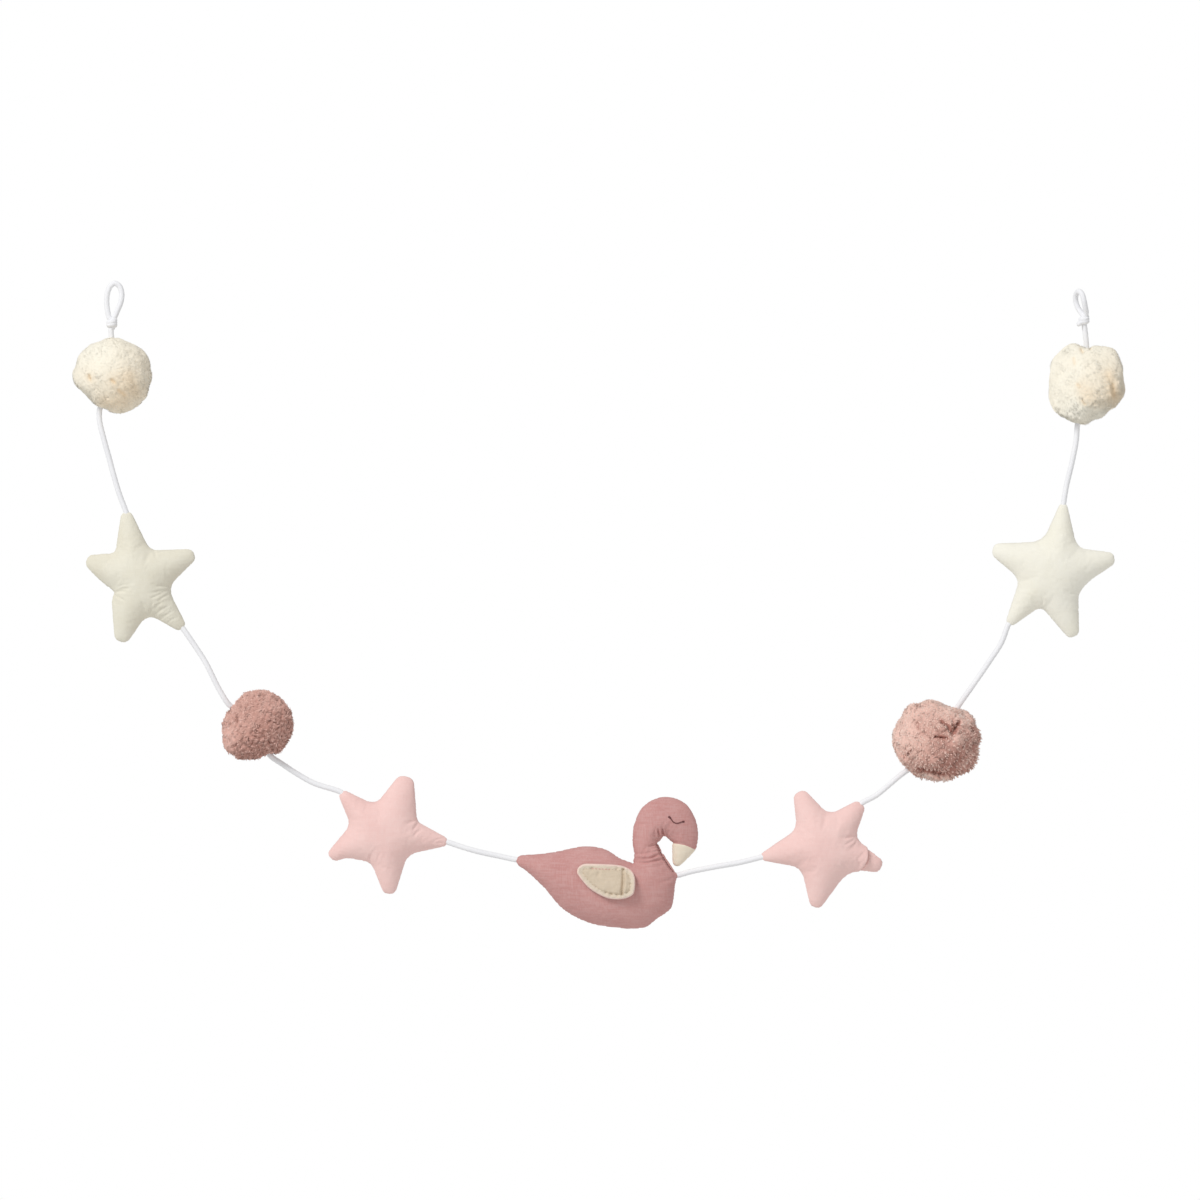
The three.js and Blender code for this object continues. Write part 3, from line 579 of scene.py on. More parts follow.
def pleat(places, faces, line, drop, bulge):
    """One step across a cover: the cloth to the left of the line stands over the cloth to its right."""
    normals = vertex_normals(places, faces)
    line = smooth_path(line, LINE_STEP)
    way = unit(np.gradient(line, axis=0))
    flat = places[:, [0, 2]]
    nearest = np.linalg.norm(flat[:, None] - line[None], axis=2).argmin(axis=1)
    off = flat - line[nearest]
    beyond = np.abs((off * way[nearest]).sum(axis=1))
    over = off[:, 0] * way[nearest, 1] - off[:, 1] * way[nearest, 0]
    rise = np.where(over > 0, -drop * np.exp(-over / 14), bulge * bell(over, 3.5))
    rise *= bell(beyond, 2)
    rise -= 0.5 * drop * bell(over - 0.6, 0.9) * (beyond < 2)
    rise *= np.clip(2 * np.abs(normals[:, 1]) - 0.15, 0.12, 1)
    return places + rise[:, None] * normals


def sink_row(places, faces, line, depth, width):
    """A seam that runs across a cover."""
    apart = distance_to(places[:, [0, 2]], smooth_path(line, LINE_STEP))
    return places - (depth * bell(apart, width))[:, None] * vertex_normals(places, faces)


def crinkle(places, faces, seed, height=0.13, size=4.2):
    """Muslin's soft uneven surface."""
    normals = vertex_normals(places, faces)
    offset = Vector((seed * 17.3, 3.1, seed * 5.7))
    rise = np.array([
        noise.noise(Vector((x / size, y / size, z / size)) + offset)
        + 0.5 * noise.noise(Vector((x, y, z)) * (2.3 / size) + offset)
        for x, y, z in places.tolist()
    ])
    return places + height * rise[:, None] * normals


# Materials
def linear(colour):
    """Linear light from 0-255 display values."""
    share = np.asarray(colour, float) / 255
    return tuple(np.where(share <= 0.04045, share / 12.92, ((share + 0.055) / 1.055) ** 2.4)) + (1.0,)


class Nodes:
    """Short names for making a material's nodes."""

    def __init__(self, name):
        self.material = bpy.data.materials.new(name)
        self.material.use_nodes = True
        self.tree = self.material.node_tree
        self.shader = self.tree.nodes["Principled BSDF"]

    def add(self, kind, inputs=(), **settings):
        made = self.tree.nodes.new(kind)
        for key, value in settings.items():
            setattr(made, key, value)
        for key, value in dict(inputs).items():
            self.put(made.inputs[key], value)
        return made

    def put(self, socket, value):
        if isinstance(value, bpy.types.NodeSocket):
            self.tree.links.new(value, socket)
        else:
            socket.default_value = value

    def math(self, operation, *values):
        made = self.add("ShaderNodeMath", operation=operation)
        for socket, value in zip(made.inputs, values):
            self.put(socket, value)
        return made.outputs[0]

    def mix(self, share, first, second):
        made = self.add("ShaderNodeMix", data_type="RGBA")
        for socket, value in zip((made.inputs[0], made.inputs[6], made.inputs[7]), (share, first, second)):
            self.put(socket, value)
        return made.outputs[2]

    def place(self):
        return self.add("ShaderNodeTexCoord").outputs["Object"]

    def noise(self, where, scale, detail=2.0, rough=0.5, stretch=None):
        if stretch:
            where = self.add("ShaderNodeMapping", {"Vector": where, "Scale": stretch}).outputs[0]
        shape = {"Vector": where, "Scale": scale, "Detail": detail, "Roughness": rough}
        return self.add("ShaderNodeTexNoise", shape).outputs["Fac"]

    def spread(self, value, low, high, to_low=0.0, to_high=1.0):
        made = self.add("ShaderNodeMapRange", {"Value": value, 1: low, 2: high, 3: to_low, 4: to_high})
        return made.outputs[0]

    def bump(self, height, strength, distance, below=None):
        made = self.add("ShaderNodeBump", {"Height": height, "Strength": strength, "Distance": distance})
        if below is not None:
            self.put(made.inputs["Normal"], below)
        return made.outputs[0]

    def finish(self, values):
        """Sets the shader's sockets, each to a number, a colour or a node's output."""
        for socket, value in values.items():
            self.put(self.shader.inputs[socket], value)
        return self.material


WEAVE_PITCH = 0.62


def muslin(name, colour, shade, sheen=0.25, slub=0.14, weave_gap_shade=0.3):
    """Loose plain-woven cotton: threads in two directions, slubs, uneven dye, painted shade in the weave's
    gaps and soft crinkles.
    """
    nodes = Nodes(name)
    where = nodes.place()
    facing = nodes.add("ShaderNodeSeparateXYZ", {0: nodes.add("ShaderNodeNewGeometry").outputs["Normal"]})
    threads = {
        "Vector": where, "Scale": 2 * math.pi / (20 * WEAVE_PITCH * MM),
        "Distortion": 1.2, "Detail": 1.0, "Detail Scale": 0.35,
    }
    weave = 0.0
    for axis, letter in enumerate("XYZ"):
        wave = nodes.add("ShaderNodeTexWave", threads, bands_direction=letter)
        along = nodes.math("SUBTRACT", 1.0, nodes.math("ABSOLUTE", facing.outputs[axis]))
        weave = nodes.math("ADD", weave, nodes.math("MULTIPLY", wave.outputs["Fac"], along))
    across = nodes.noise(where, 1.0, 2.0, 0.5, (90, 90, 1100))
    upright = nodes.noise(where, 1.0, 2.0, 0.5, (1100, 1100, 90))
    slubs = nodes.math("ADD", nodes.math("MULTIPLY", across, 0.5), nodes.math("MULTIPLY", upright, 0.5))
    dye = nodes.noise(where, 28, 3.0, 0.6)
    crinkles = nodes.noise(where, 260, 3.0, 0.55)
    tone = nodes.mix(nodes.spread(dye, 0.3, 0.7), linear(shade), linear(colour))
    tone = nodes.mix(nodes.spread(slubs, 0.42, 0.6, 0.0, slub), tone, linear(np.array(colour) * 0.5 + 127))
    # Painted shade: the weave's gaps are coloured darker.
    tone = nodes.mix(nodes.spread(weave, 0.2, 1.5, weave_gap_shade, 0.0), tone, linear(np.array(shade) * 0.86))
    soft = nodes.bump(crinkles, 0.45, 0.0006)
    lines = nodes.bump(slubs, 0.9 * slub + 0.02, 0.0005, soft)
    return nodes.finish({
        "Base Color": tone,
        "Roughness": nodes.spread(crinkles, 0.2, 0.8, 0.82, 0.98),
        "Normal": nodes.bump(weave, 0.35, 0.0002, lines),
        "Sheen Weight": sheen,
        "Sheen Roughness": 0.55,
        "Sheen Tint": linear(np.array(colour) * 0.8 + 51),
        "Specular IOR Level": 0.25,
    })


def yarn(name, colour, shade, deep):
    """Cut yarn: each end a little lighter or darker than the next, hairy, with painted shade deepening its
    colour low on the strands and in the core, and a painted highlight whitening it where its level rises
    above one.
    """
    nodes = Nodes(name)
    where = nodes.place()
    island = nodes.add("ShaderNodeNewGeometry").outputs["Random Per Island"]
    tip = nodes.add("ShaderNodeAttribute", attribute_name="tip").outputs["Fac"]
    hairs = nodes.noise(where, 900, 3.0, 0.6)
    patch = nodes.noise(where, 60, 2.0, 0.5)
    share = nodes.math("ADD", nodes.math("MULTIPLY", island, 0.35), nodes.math("MULTIPLY", patch, 0.65))
    tone = nodes.mix(share, linear(shade), linear(colour))
    # Painted shade: the deep colour low on each strand and in the core
    tone = nodes.mix(nodes.spread(tip, 0.0, 0.8, 0.8, 0.0), tone, linear(deep))
    tone = nodes.mix(nodes.spread(hairs, 0.35, 0.65, 0.1, 0.0), tone, linear(deep))
    # Painted highlight: levels above one whiten the yarn
    tone = nodes.mix(nodes.spread(tip, 1.0, 1.6, 0.0, 0.7), tone, linear(np.array(colour) * 0.7 + 77))
    return nodes.finish({
        "Base Color": tone,
        "Roughness": nodes.spread(hairs, 0.2, 0.8, 0.85, 1.0),
        "Normal": nodes.bump(hairs, 0.3, 0.0003),
        "Sheen Weight": 0.7,
        "Sheen Roughness": 0.4,
        "Sheen Tint": linear(np.array(colour) * 0.8 + 51),
        "Specular IOR Level": 0.2,
    })


def cotton_cord(name, colour, shade):
    nodes = Nodes(name)
    where = nodes.place()
    hairs = nodes.noise(where, 1400, 3.0, 0.6)
    patch = nodes.noise(where, 45, 2.0, 0.5)
    tone = nodes.mix(nodes.spread(patch, 0.3, 0.7), linear(shade), linear(colour))
    return nodes.finish({
        "Base Color": nodes.mix(
            nodes.spread(hairs, 0.35, 0.6, 0.15, 0.0), tone, linear(np.array(shade) * 0.92),
        ),
        "Roughness": nodes.spread(hairs, 0.2, 0.8, 0.8, 0.98),
        "Normal": nodes.bump(hairs, 0.5, 0.00035),
        "Sheen Weight": 0.35,
        "Sheen Roughness": 0.5,
        "Specular IOR Level": 0.25,
    })


def thread(name, colour, shade):
    nodes = Nodes(name)
    twist = nodes.noise(nodes.place(), 1800, 2.0, 0.5)
    return nodes.finish({
        "Base Color": nodes.mix(twist, linear(shade), linear(colour)),
        "Roughness": nodes.spread(twist, 0.2, 0.8, 0.5, 0.8),
        "Normal": nodes.bump(twist, 0.5, 0.0003),
        "Sheen Weight": 0.2,
    })


LOOKS = {}
for kind, rows in (
    (muslin, {
        "cream_muslin": [(240, 236, 220), (232, 226, 207)],
        # The right cream star's cloth: the cream muslin made lighter, as painted light
        "pale_muslin": [(253, 250, 238), (247, 243, 227), 0.7],
        "pink_muslin": [(252, 216, 210), (246, 205, 199), 0.45],
        "dusky_muslin": [(213, 160, 155), (201, 145, 141), 0.3, 0.26, 0.35],
        "beak_muslin": [(250, 238, 218), (241, 227, 205)],
        "wing_muslin": [(224, 206, 183), (211, 194, 170)],
        "wing_border": [(231, 216, 196), (219, 203, 182)],
        "wing_rim": [(250, 226, 214), (242, 214, 201)],
    }),
    (yarn, {
        # colour, second tone and the deep colour of the painted shade among the strands
        "cream_yarn": [(252, 250, 238), (249, 242, 225), (244, 214, 174)],
        "rose_yarn": [(242, 199, 186), (220, 174, 161), (152, 100, 88)],
        "light_rose_yarn": [(255, 226, 212), (248, 203, 189), (160, 98, 86)],
    }),
    (cotton_cord, {"white_cord": [(247, 247, 249), (240, 240, 243)]}),
    (thread, {
        "eye_thread": [(122, 66, 66), (86, 44, 45)],
        "pink_thread": [(232, 176, 172), (214, 156, 152)],
        # dark thread along the throat: partly seam, partly painted shadow
        "seam_thread": [(142, 90, 88), (112, 66, 66)],
        "tan_thread": [(206, 190, 166), (182, 166, 142)],
    }),
):
    for name, colours_and_depths in rows.items():
        LOOKS[name] = kind(name, *colours_and_depths)


# Camera, light, floor
MIDDLE = Vector((PHOTO_MIDDLE[0] * MM, 0, PHOTO_MIDDLE[1] * MM))
CAMERA_FAR = 8.0
SENSOR = 36
STUDIO_LEVEL = 0.5
BACKDROP_LEVEL = 1.0
FLOOR = [(-2.6, -3), (3.4, -3), (3.4, 2), (-2.6, 2)]
FLOOR_HEIGHT = -1.25
LIGHTS = {
    # place, width and power
    "key": ((-5.4, -6.8, 7.3), 4.2, 770),
    "fill": ((4.4, -4.2, 0.1), 3.2, 25),
}


def add(data, name, place, turn=(0, 0, 0)):
    obj = put_in_scene(name, data)
    obj.location = place
    obj.rotation_euler = turn
    return obj


camera = bpy.data.cameras.new("camera")
camera.sensor_width = SENSOR
camera.lens = SENSOR * CAMERA_FAR / (PHOTO_WIDTH * MM)
bpy.context.scene.camera = add(camera, "camera", MIDDLE + Vector((0, -CAMERA_FAR, 0)), (math.pi / 2, 0, 0))

world = bpy.data.worlds.new("studio")
world.use_nodes = True
sky = world.node_tree.nodes["Background"]
sky.inputs["Color"].default_value = (1, 1, 1, 1)
seen = world.node_tree.nodes.new("ShaderNodeLightPath")
level = world.node_tree.nodes.new("ShaderNodeMapRange")
level.inputs["To Min"].default_value = STUDIO_LEVEL
level.inputs["To Max"].default_value = BACKDROP_LEVEL
world.node_tree.links.new(seen.outputs["Is Camera Ray"], level.inputs["Value"])
world.node_tree.links.new(level.outputs[0], sky.inputs["Strength"])
bpy.context.scene.world = world
bpy.context.scene.view_settings.view_transform = "Standard"

for name, (place, width, power) in LIGHTS.items():
    light = bpy.data.lights.new(name, "AREA")
    light.shape = "DISK"
    light.size = width
    light.energy = power
    lamp = add(light, name, place)
    lamp.rotation_euler = (MIDDLE - lamp.location).to_track_quat("-Z", "Y").to_euler()

ground = bpy.data.meshes.new("floor")
ground.from_pydata([(x, y, FLOOR_HEIGHT) for x, y in FLOOR], [], [(0, 1, 2, 3)])
pale = Nodes("floor")
ground.materials.append(pale.finish({
    "Base Color": pale.mix(pale.noise(pale.place(), 3), (0.83, 0.83, 0.82, 1), (0.87, 0.87, 0.86, 1)),
    "Roughness": 0.9,
}))
add(ground, "floor", (0, 0, 0))


# Sizes of the pompoms
# centre, size: its middle in X, Z and its width, depth and height
# cords: the two directions in which the cord leaves it, in degrees
# reach: how far its outline is from its middle, at even angles, anticlockwise from the right
# tufts, dome, uneven: how many tufts it has, how round they are and how unlike in height
# cleft, gap, lumps: how deep and how wide the clefts between tufts are, and how lumpy the whole is
# hollows, tints: start, end, depth or paleness, and width of dents, whose colour is painted darker as shade,
# and of stretches in front painted paler as light or darker as shade
# ends, gather, speckle: how many bunches the strands form, how close, and how much these stand out, in height
# and in the painted shade between them
# pale, inside: how much painted light whitens the smooth upper left side, and how pale the core is under the
# painted shade among the strands
# strands, fine, rise, lay, thick: how many strands, in which form, how high, long and thick
# fluff: how far under the outline the core lies
# brushed, wild, flow: how far strands lean together or each its own way, and over what width
# grain, soft, least: how much single strands show in the light, how soft it falls, the least roughness
POMPOMS = {
    "pompom_cream_left": {
        "slot": "cream_yarn", "look": "cream_yarn",
        "centre": (-1, -77), "size": (70, 67, 67), "cords": (90, 249),
        "reach": [
            34.4, 33.8, 35, 34.1, 33.2, 31.8, 32.1, 32.8, 33, 31.4, 31.9, 32.6, 33.3, 33.5, 33.2, 34.6,
            33.5, 31, 29, 29.1, 29.9, 30.3, 30.8, 33.6, 34, 34.6, 34.1, 35.1, 34.2, 33.8,
        ],
        "tufts": 260, "dome": 0.18, "uneven": 0.12, "cleft": 0.15, "gap": 1.4, "lumps": 0.22,
        "hollows": [
            ((-19, -1), (-18, -4), 1.6, 1.4), ((1, -5), (3.5, -7), 1.8, 1.4), ((7, -14), (12, -18), 1.2, 1.6),
        ],
        "ends": 1900, "pale": 0, "grain": 0.5, "inside": 0.65, "gather": 0,
        "strands": 10000, "fine": True, "rise": 0.45, "lay": 1.9, "thick": 0.25, "fluff": 0.3,
        "brushed": 0.6, "wild": 0.35, "flow": 20,
        "bunch_height_and_shade": 0.45, "soft": 0.15, "least": 0.2,
        "painted_light_and_shade": [
            ((-19, -2), (-17, -4), -0.2, 4), ((3, -5), (8, -14), -0.2, 6), ((16, -2), (19, -14), -0.3, 7),
            ((-6, -24), (10, -24), -0.25, 6), ((-14, 20), (-6, 14), 0.1, 14),
        ],
    },
    "pompom_rose_left": {
        "slot": "rose_yarn", "look": "rose_yarn",
        "centre": (124.5, -379.2), "size": (62, 61, 61), "cords": (145, 289),
        "reach": [
            31.2, 30.9, 31.1, 31.4, 30.7, 30.6, 30.2, 29.9, 29.5, 29.4, 28.1, 26.5, 26.5, 27.9, 28.7, 30,
            31.3, 33.2, 34.9, 34.7, 33.5, 31.3, 29.7, 28.2, 27.4, 28.6, 30.6, 29.8, 29.9, 31.2,
        ],
        "tufts": 420, "dome": 0.6, "uneven": 0.35, "cleft": 1.5, "gap": 0.9, "lumps": 0.25,
        "hollows": [((-17.8, 9), (-17.2, 3), 1.8, 1.3), ((-20.5, -18.6), (-18.5, -17.6), 2.4, 1.3)],
        "ends": 2600, "pale": 0.6, "grain": 0.35, "inside": 0.25, "gather": 0.8,
        "strands": 6000, "fine": False, "rise": 0.8, "lay": 1.6, "thick": 0.5, "fluff": 0.65,
        "brushed": 0.7, "wild": 0.3, "flow": 8,
        "bunch_height_and_shade": 1.3, "soft": 0.45, "least": 0.5,
        "painted_light_and_shade": [
            ((-2, 10), (6, -4), -0.14, 11), ((12, -18), (22, -8), 0.4, 8), ((-26, -4), (-22, -18), 0.35, 6),
        ],
    },
    "pompom_rose_right": {
        "slot": "rose_yarn", "look": "light_rose_yarn",
        "centre": (711.8, -392.3), "size": (79, 74, 73), "cords": (57, 229),
        "reach": [
            37.5, 37.3, 37.5, 36.8, 34.6, 32.4, 31.4, 32.5, 34.9, 34.7, 37, 38.3, 36.5, 36.2, 37.6, 38.9,
            37.2, 36.6, 36.2, 36.3, 36.2, 34.5, 34.3, 34.8, 36.4, 36, 37.7, 39.1, 38.3, 36.6,
        ],
        "tufts": 150, "dome": 0.4, "uneven": 0.5, "cleft": 2.2, "gap": 1.4, "lumps": 0.6,
        "hollows": [
            ((3.1, 16.5), (10, 11), 4, 1.2), ((9.5, 11), (13, 6), 4, 1.5),
            ((18.7, 16), (13.8, 6.2), 4.5, 1.5),
            ((-2, 3.1), (8.3, 1.8), 3.2, 1.2), ((13, 17), (13.4, 9), 2.5, 1.0),
            ((29.9, 11), (30.5, 8), 3, 1.7), ((-17.6, 29.5), (-16.5, 31), 2.5, 1.3),
            ((-28, -14.6), (-22.8, -9.4), 3, 1.3), ((-16, -25.8), (4.9, -29.3), 3, 1.8),
            ((-17.6, 15), (-16.8, 10), 1.8, 1.4),
        ],
        "ends": 2000, "pale": 0.7, "grain": 0.35, "inside": 0.15, "gather": 0.85,
        "strands": 7000, "fine": False, "rise": 1.15, "lay": 1.0, "thick": 0.5, "fluff": 0.95,
        "brushed": 0.5, "wild": 0.3, "flow": 10,
        "bunch_height_and_shade": 1.5, "soft": 0.3, "least": 0.3,
        "painted_light_and_shade": [
            ((-16, 16), (-12, 8), -0.25, 5), ((-4, 18), (6, 4), -0.22, 9), ((-10, -31), (10, -34), 1.0, 3),
            ((20, 22), (27, 14), 0.4, 5), ((10, 3), (22, 0), 0.35, 4), ((24, -22), (30, -12), 0.3, 5),
        ],
    },
    "pompom_cream_right": {
        "slot": "cream_yarn", "look": "cream_yarn",
        "centre": (841.7, -84.3), "size": (67, 68, 70), "cords": (89, 257),
        "reach": [
            33.1, 32.5, 34.3, 35.4, 37.9, 36.6, 34, 31.6, 32.2, 36.2, 37.4, 35.8, 36.4, 34.2, 33, 32.8,
            33.4, 35.4, 36.5, 36.3, 36, 36, 36, 32.8, 32, 31.4, 30.9, 31.8, 33.2, 34,
        ],
        "tufts": 230, "dome": 0.18, "uneven": 0.18, "cleft": 0.12, "gap": 1.4, "lumps": 0.2,
        "hollows": [
            ((-9.5, -1.5), (-8, -3.5), 1.5, 1.4), ((-5, -15.5), (-3, -18.5), 1.5, 1.4),
            ((20.5, -2), (22, -10), 1.6, 1.8), ((-12.5, 21), (-12, 16.5), 1.8, 1.6),
            ((-5.8, 29.5), (-4.6, 27), 2, 1.5), ((2.4, 32), (2.6, 30), 2, 1.4),
        ],
        "ends": 1900, "pale": 0.15, "grain": 0.3, "inside": 0.6, "gather": 0,
        "strands": 10000, "fine": True, "rise": 0.45, "lay": 1.9, "thick": 0.25, "fluff": 0.35,
        "brushed": 0.6, "wild": 0.35, "flow": 18,
        "bunch_height_and_shade": 0.3, "soft": 0.75, "least": 0.2,
        "painted_light_and_shade": [
            ((18, 6), (23, -12), -0.35, 6), ((-6, -4), (2, -14), -0.2, 8), ((-18, 10), (-18, -16), 0.25, 10),
            ((-14, -28), (12, -30), 0.5, 8),
        ],
    },
}

# Cords: where each stretch starts, the points that it hangs through, and where it ends
FLAMINGO_PLACE = np.array([348.2, -496.5])
FLAMINGO_CORDS = {"tail": ((0.8, 0.3), 180), "breast": ((139.5, -13.1), 0)}
CORDS = {
    "cord_1": (
        ("pompom_cream_left", 1),
        [(-12, -107), (-12.2, -116), (-8.4, -132.3), (-4.1, -147.9), (0.3, -164.3), (5, -180)],
        ("star_cream_left", "top"),
    ),
    "cord_2": (
        ("star_cream_left", "lower_right"),
        [(68.5, -308.5), (79.5, -325.5), (91.1, -348.5), (99.9, -362.1)],
        ("pompom_rose_left", 0),
    ),
    "cord_3": (
        ("pompom_rose_left", 1),
        [(136.6, -407.2), (144.6, -412.6), (158.6, -421.8), (173.4, -430)],
        ("star_pink_left", "upper_left"),
    ),
    "cord_4": (
        ("star_pink_left", "right"),
        [(302, -485.4), (317, -489.6), (333, -493)],
        ("flamingo", "tail"),
    ),
    "cord_5": (
        ("flamingo", "breast"),
        [(498.7, -506.7), (520.3, -502.4), (541.9, -498.6)],
        ("star_pink_right", "left"),
    ),
    "cord_6": (
        ("star_pink_right", "upper_right"),
        [(659.6, -440.6), (669.5, -432.6), (679, -424.5)],
        ("pompom_rose_right", 1),
    ),
    "cord_7": (
        ("pompom_rose_right", 0),
        [(733, -360), (744.6, -343.6), (758.4, -323.5), (768, -308.5)],
        ("star_cream_right", "lower_left"),
    ),
    "cord_8": (
        ("star_cream_right", "top"),
        [(824, -174), (829.3, -151.5), (832.6, -134), (833.8, -120)],
        ("pompom_cream_right", 1),
    ),
}
THREADED = 2.0  # how far a stretch goes on into the piece that it is threaded through


def seat_of(end):
    """Where a stretch of cord meets its piece, and the direction out of the piece."""
    piece, place = end
    if piece == "flamingo":
        at, angle = FLAMINGO_CORDS[place]
        return FLAMINGO_PLACE + at, angle
    if piece in STARS:
        star = STARS[piece]
        _, angle, reach, _ = next(row for row in star["seam"] if row[0] == place)
        return star["centre"] + polar(angle, reach), angle
    pompom = POMPOMS[piece]
    angle = pompom["cords"][place]
    x, _, z = pompom["size"]
    reach = POMPOM_CORE * np.linalg.norm(polar(angle, 0.5) * (x, z))
    return pompom["centre"] + polar(angle, reach), angle


def route(start, via, end):
    ends = []
    for (at, angle), nearest in ((seat_of(start), via[0]), (seat_of(end), via[-1])):
        way = np.asarray(nearest) - at
        lean = math.acos(np.clip(polar(angle, 1) @ way / np.linalg.norm(way), -1, 1))
        ends.append(at + polar(angle, GAP + CORD_CORNER * math.sin(lean)))
        ends.append(at - polar(angle, THREADED))
    flat = [ends[1], ends[0], *via, ends[2], ends[3]]
    return smooth_path([(x, 0, z) for x, z in flat], CORD_STEP)


def tube(path, radius, sides=CORD_SIDES, relief=BRAID_RELIEF, ends=(1, 1)):
    """A round cord along a path, with the low diamonds of its braid. Ends may be drawn in."""
    way = unit(np.gradient(path, axis=0))
    first = np.cross(way[0], (0, 1, 0))
    if np.linalg.norm(first) < 0.3:  # a stitch that starts straight out of the cloth
        first = np.cross(way[0], (1, 0, 0))
    aside = [first / np.linalg.norm(first)]
    for w in way[1:]:
        across = aside[-1] - w * (aside[-1] @ w)
        aside.append(across / np.linalg.norm(across))
    u = np.array(aside)
    v = np.cross(way, u)
    along = distances(path)
    angle = 2 * np.pi * np.arange(sides) / sides
    braid = np.cos(BRAID_ROWS * angle)[None] * np.cos(2 * np.pi * along / BRAID_LAY)[:, None]
    width = np.interp(along, [0, END_TAPER, along[-1] - END_TAPER, along[-1]], [ends[0], 1, 1, ends[1]])
    reach = radius * width[:, None] + relief * braid
    rings = path[:, None] + reach[..., None] * (
        np.cos(angle)[None, :, None] * u[:, None] + np.sin(angle)[None, :, None] * v[:, None]
    )
    last = (len(path) - 1) * sides
    turn = [(j, (j + 1) % sides) for j in range(sides)]
    faces = [(i + j, i + k, i + sides + k, i + sides + j) for i in range(0, last, sides) for j, k in turn]
    for j, k in turn:
        faces += [(last + sides, k, j), (last + sides + 1, last + j, last + k)]
    return np.vstack([rings.reshape(-1, 3), path[0], path[-1]]), faces


def join(parts):
    points, faces, first = [], [], 0
    for some, those in parts:
        points.append(some)
        faces += [tuple(i + first for i in face) for face in those]
        first += len(some)
    return np.vstack(points), faces


def lay_cord(name, path, nodes):
    """A hanging stretch of cord."""
    cord = make_object(name, *tube(path, CORD_DIAMETER / 2), LOOKS["white_cord"])
    dress(cord, "white_cord", *nodes)


for name, (start, via, end) in CORDS.items():
    lay_cord(name + "_braid", route(start, via, end), [name])

ENDS = {
    "left": {
        "knot": (-1.5, 0, -32.2),
        "turn": 0,
        "stem": [(-2.2, 0, -37.3), (-1.8, 0, -44), (-1, 0, -51.9)],
        "loop": [
            (-4, 0.6, -26.8), (-5.4, 1, -20.5), (-6, 0.8, -13), (-5.1, 0.2, -5.5), (-2.6, 0, 0),
            (1.2, 0, 2.3), (5, 0, 0), (7.1, -0.4, -6.5), (6.3, -0.8, -14), (3.6, -0.8, -20.8),
            (1, -0.6, -26.8),
        ],
        "tail": [(-1.4, 0.5, -33), (-0.9, 2.2, -35.4), (-1.2, 2.4, -38)],
    },
    "right": {
        "knot": (839.4, 0, -29.5),
        "turn": 50,
        "stem": [(839.8, 0, -34.8), (841, 0, -45), (842.1, 0, -58)],
        "loop": [
            (841.2, -1.6, -23.6), (840.4, -4.2, -19.2), (839, -6, -12.5), (837.4, -4.6, -7),
            (835, -0.4, -4.6), (832.8, 4, -7.2), (832.5, 6, -12.5), (834.6, 4.8, -19),
            (837.6, 1.8, -23.6),
        ],
        "tail": [(838, -2, -31), (835.6, -2.6, -32.6), (833.2, -2.6, -33.6)],
    },
}


def knot_path():
    """An overhand knot drawn tight: two slanting turns, the ends passing up and down inside."""
    turns = np.linspace(0, 2.15, 20)
    angle = 2 * np.pi * turns - 0.5
    x = 2.75 * np.cos(angle)
    y = 2.75 * np.sin(angle)
    z = 2.3 - 2.15 * turns + 0.8 * np.cos(angle + 0.6)
    inside_top = [(0.4, 0.3, 4.2), (1.4, -0.6, 3.6)]
    inside_low = [(-0.6, -0.6, -3.4), (-0.3, 0, -4.3)]
    return np.vstack([inside_top, np.stack([x, y, z], axis=1), inside_low])


for side, parts in ENDS.items():
    centre = np.array(parts["knot"])
    spin = parts["turn"] * DEGREE
    turned = knot_path() @ np.array([
        [math.cos(spin), math.sin(spin), 0], [-math.sin(spin), math.cos(spin), 0], [0, 0, 1],
    ])
    tied = tube(smooth_path(turned + centre, CORD_STEP), KNOT_RADIUS, ends=(0.7, 0.7))
    tail = tube(smooth_path(parts["tail"], CORD_STEP), TAIL_RADIUS, ends=(0.8, 0.72))
    knot = make_object("knot_" + side + "_tied", *join([tied, tail]), LOOKS["white_cord"])
    dress(knot, "white_cord", "knot_" + side)
    low, high, last = centre + (0, 0, -1.5), centre + (0, 0, 1.5), centre + (0.4, 0, 2.2)
    path = smooth_path([*reversed(parts["stem"]), low, high, *parts["loop"], last], CORD_STEP)
    lay_cord("loop_" + side + "_braid", path, ["stem_" + side, "loop_" + side])


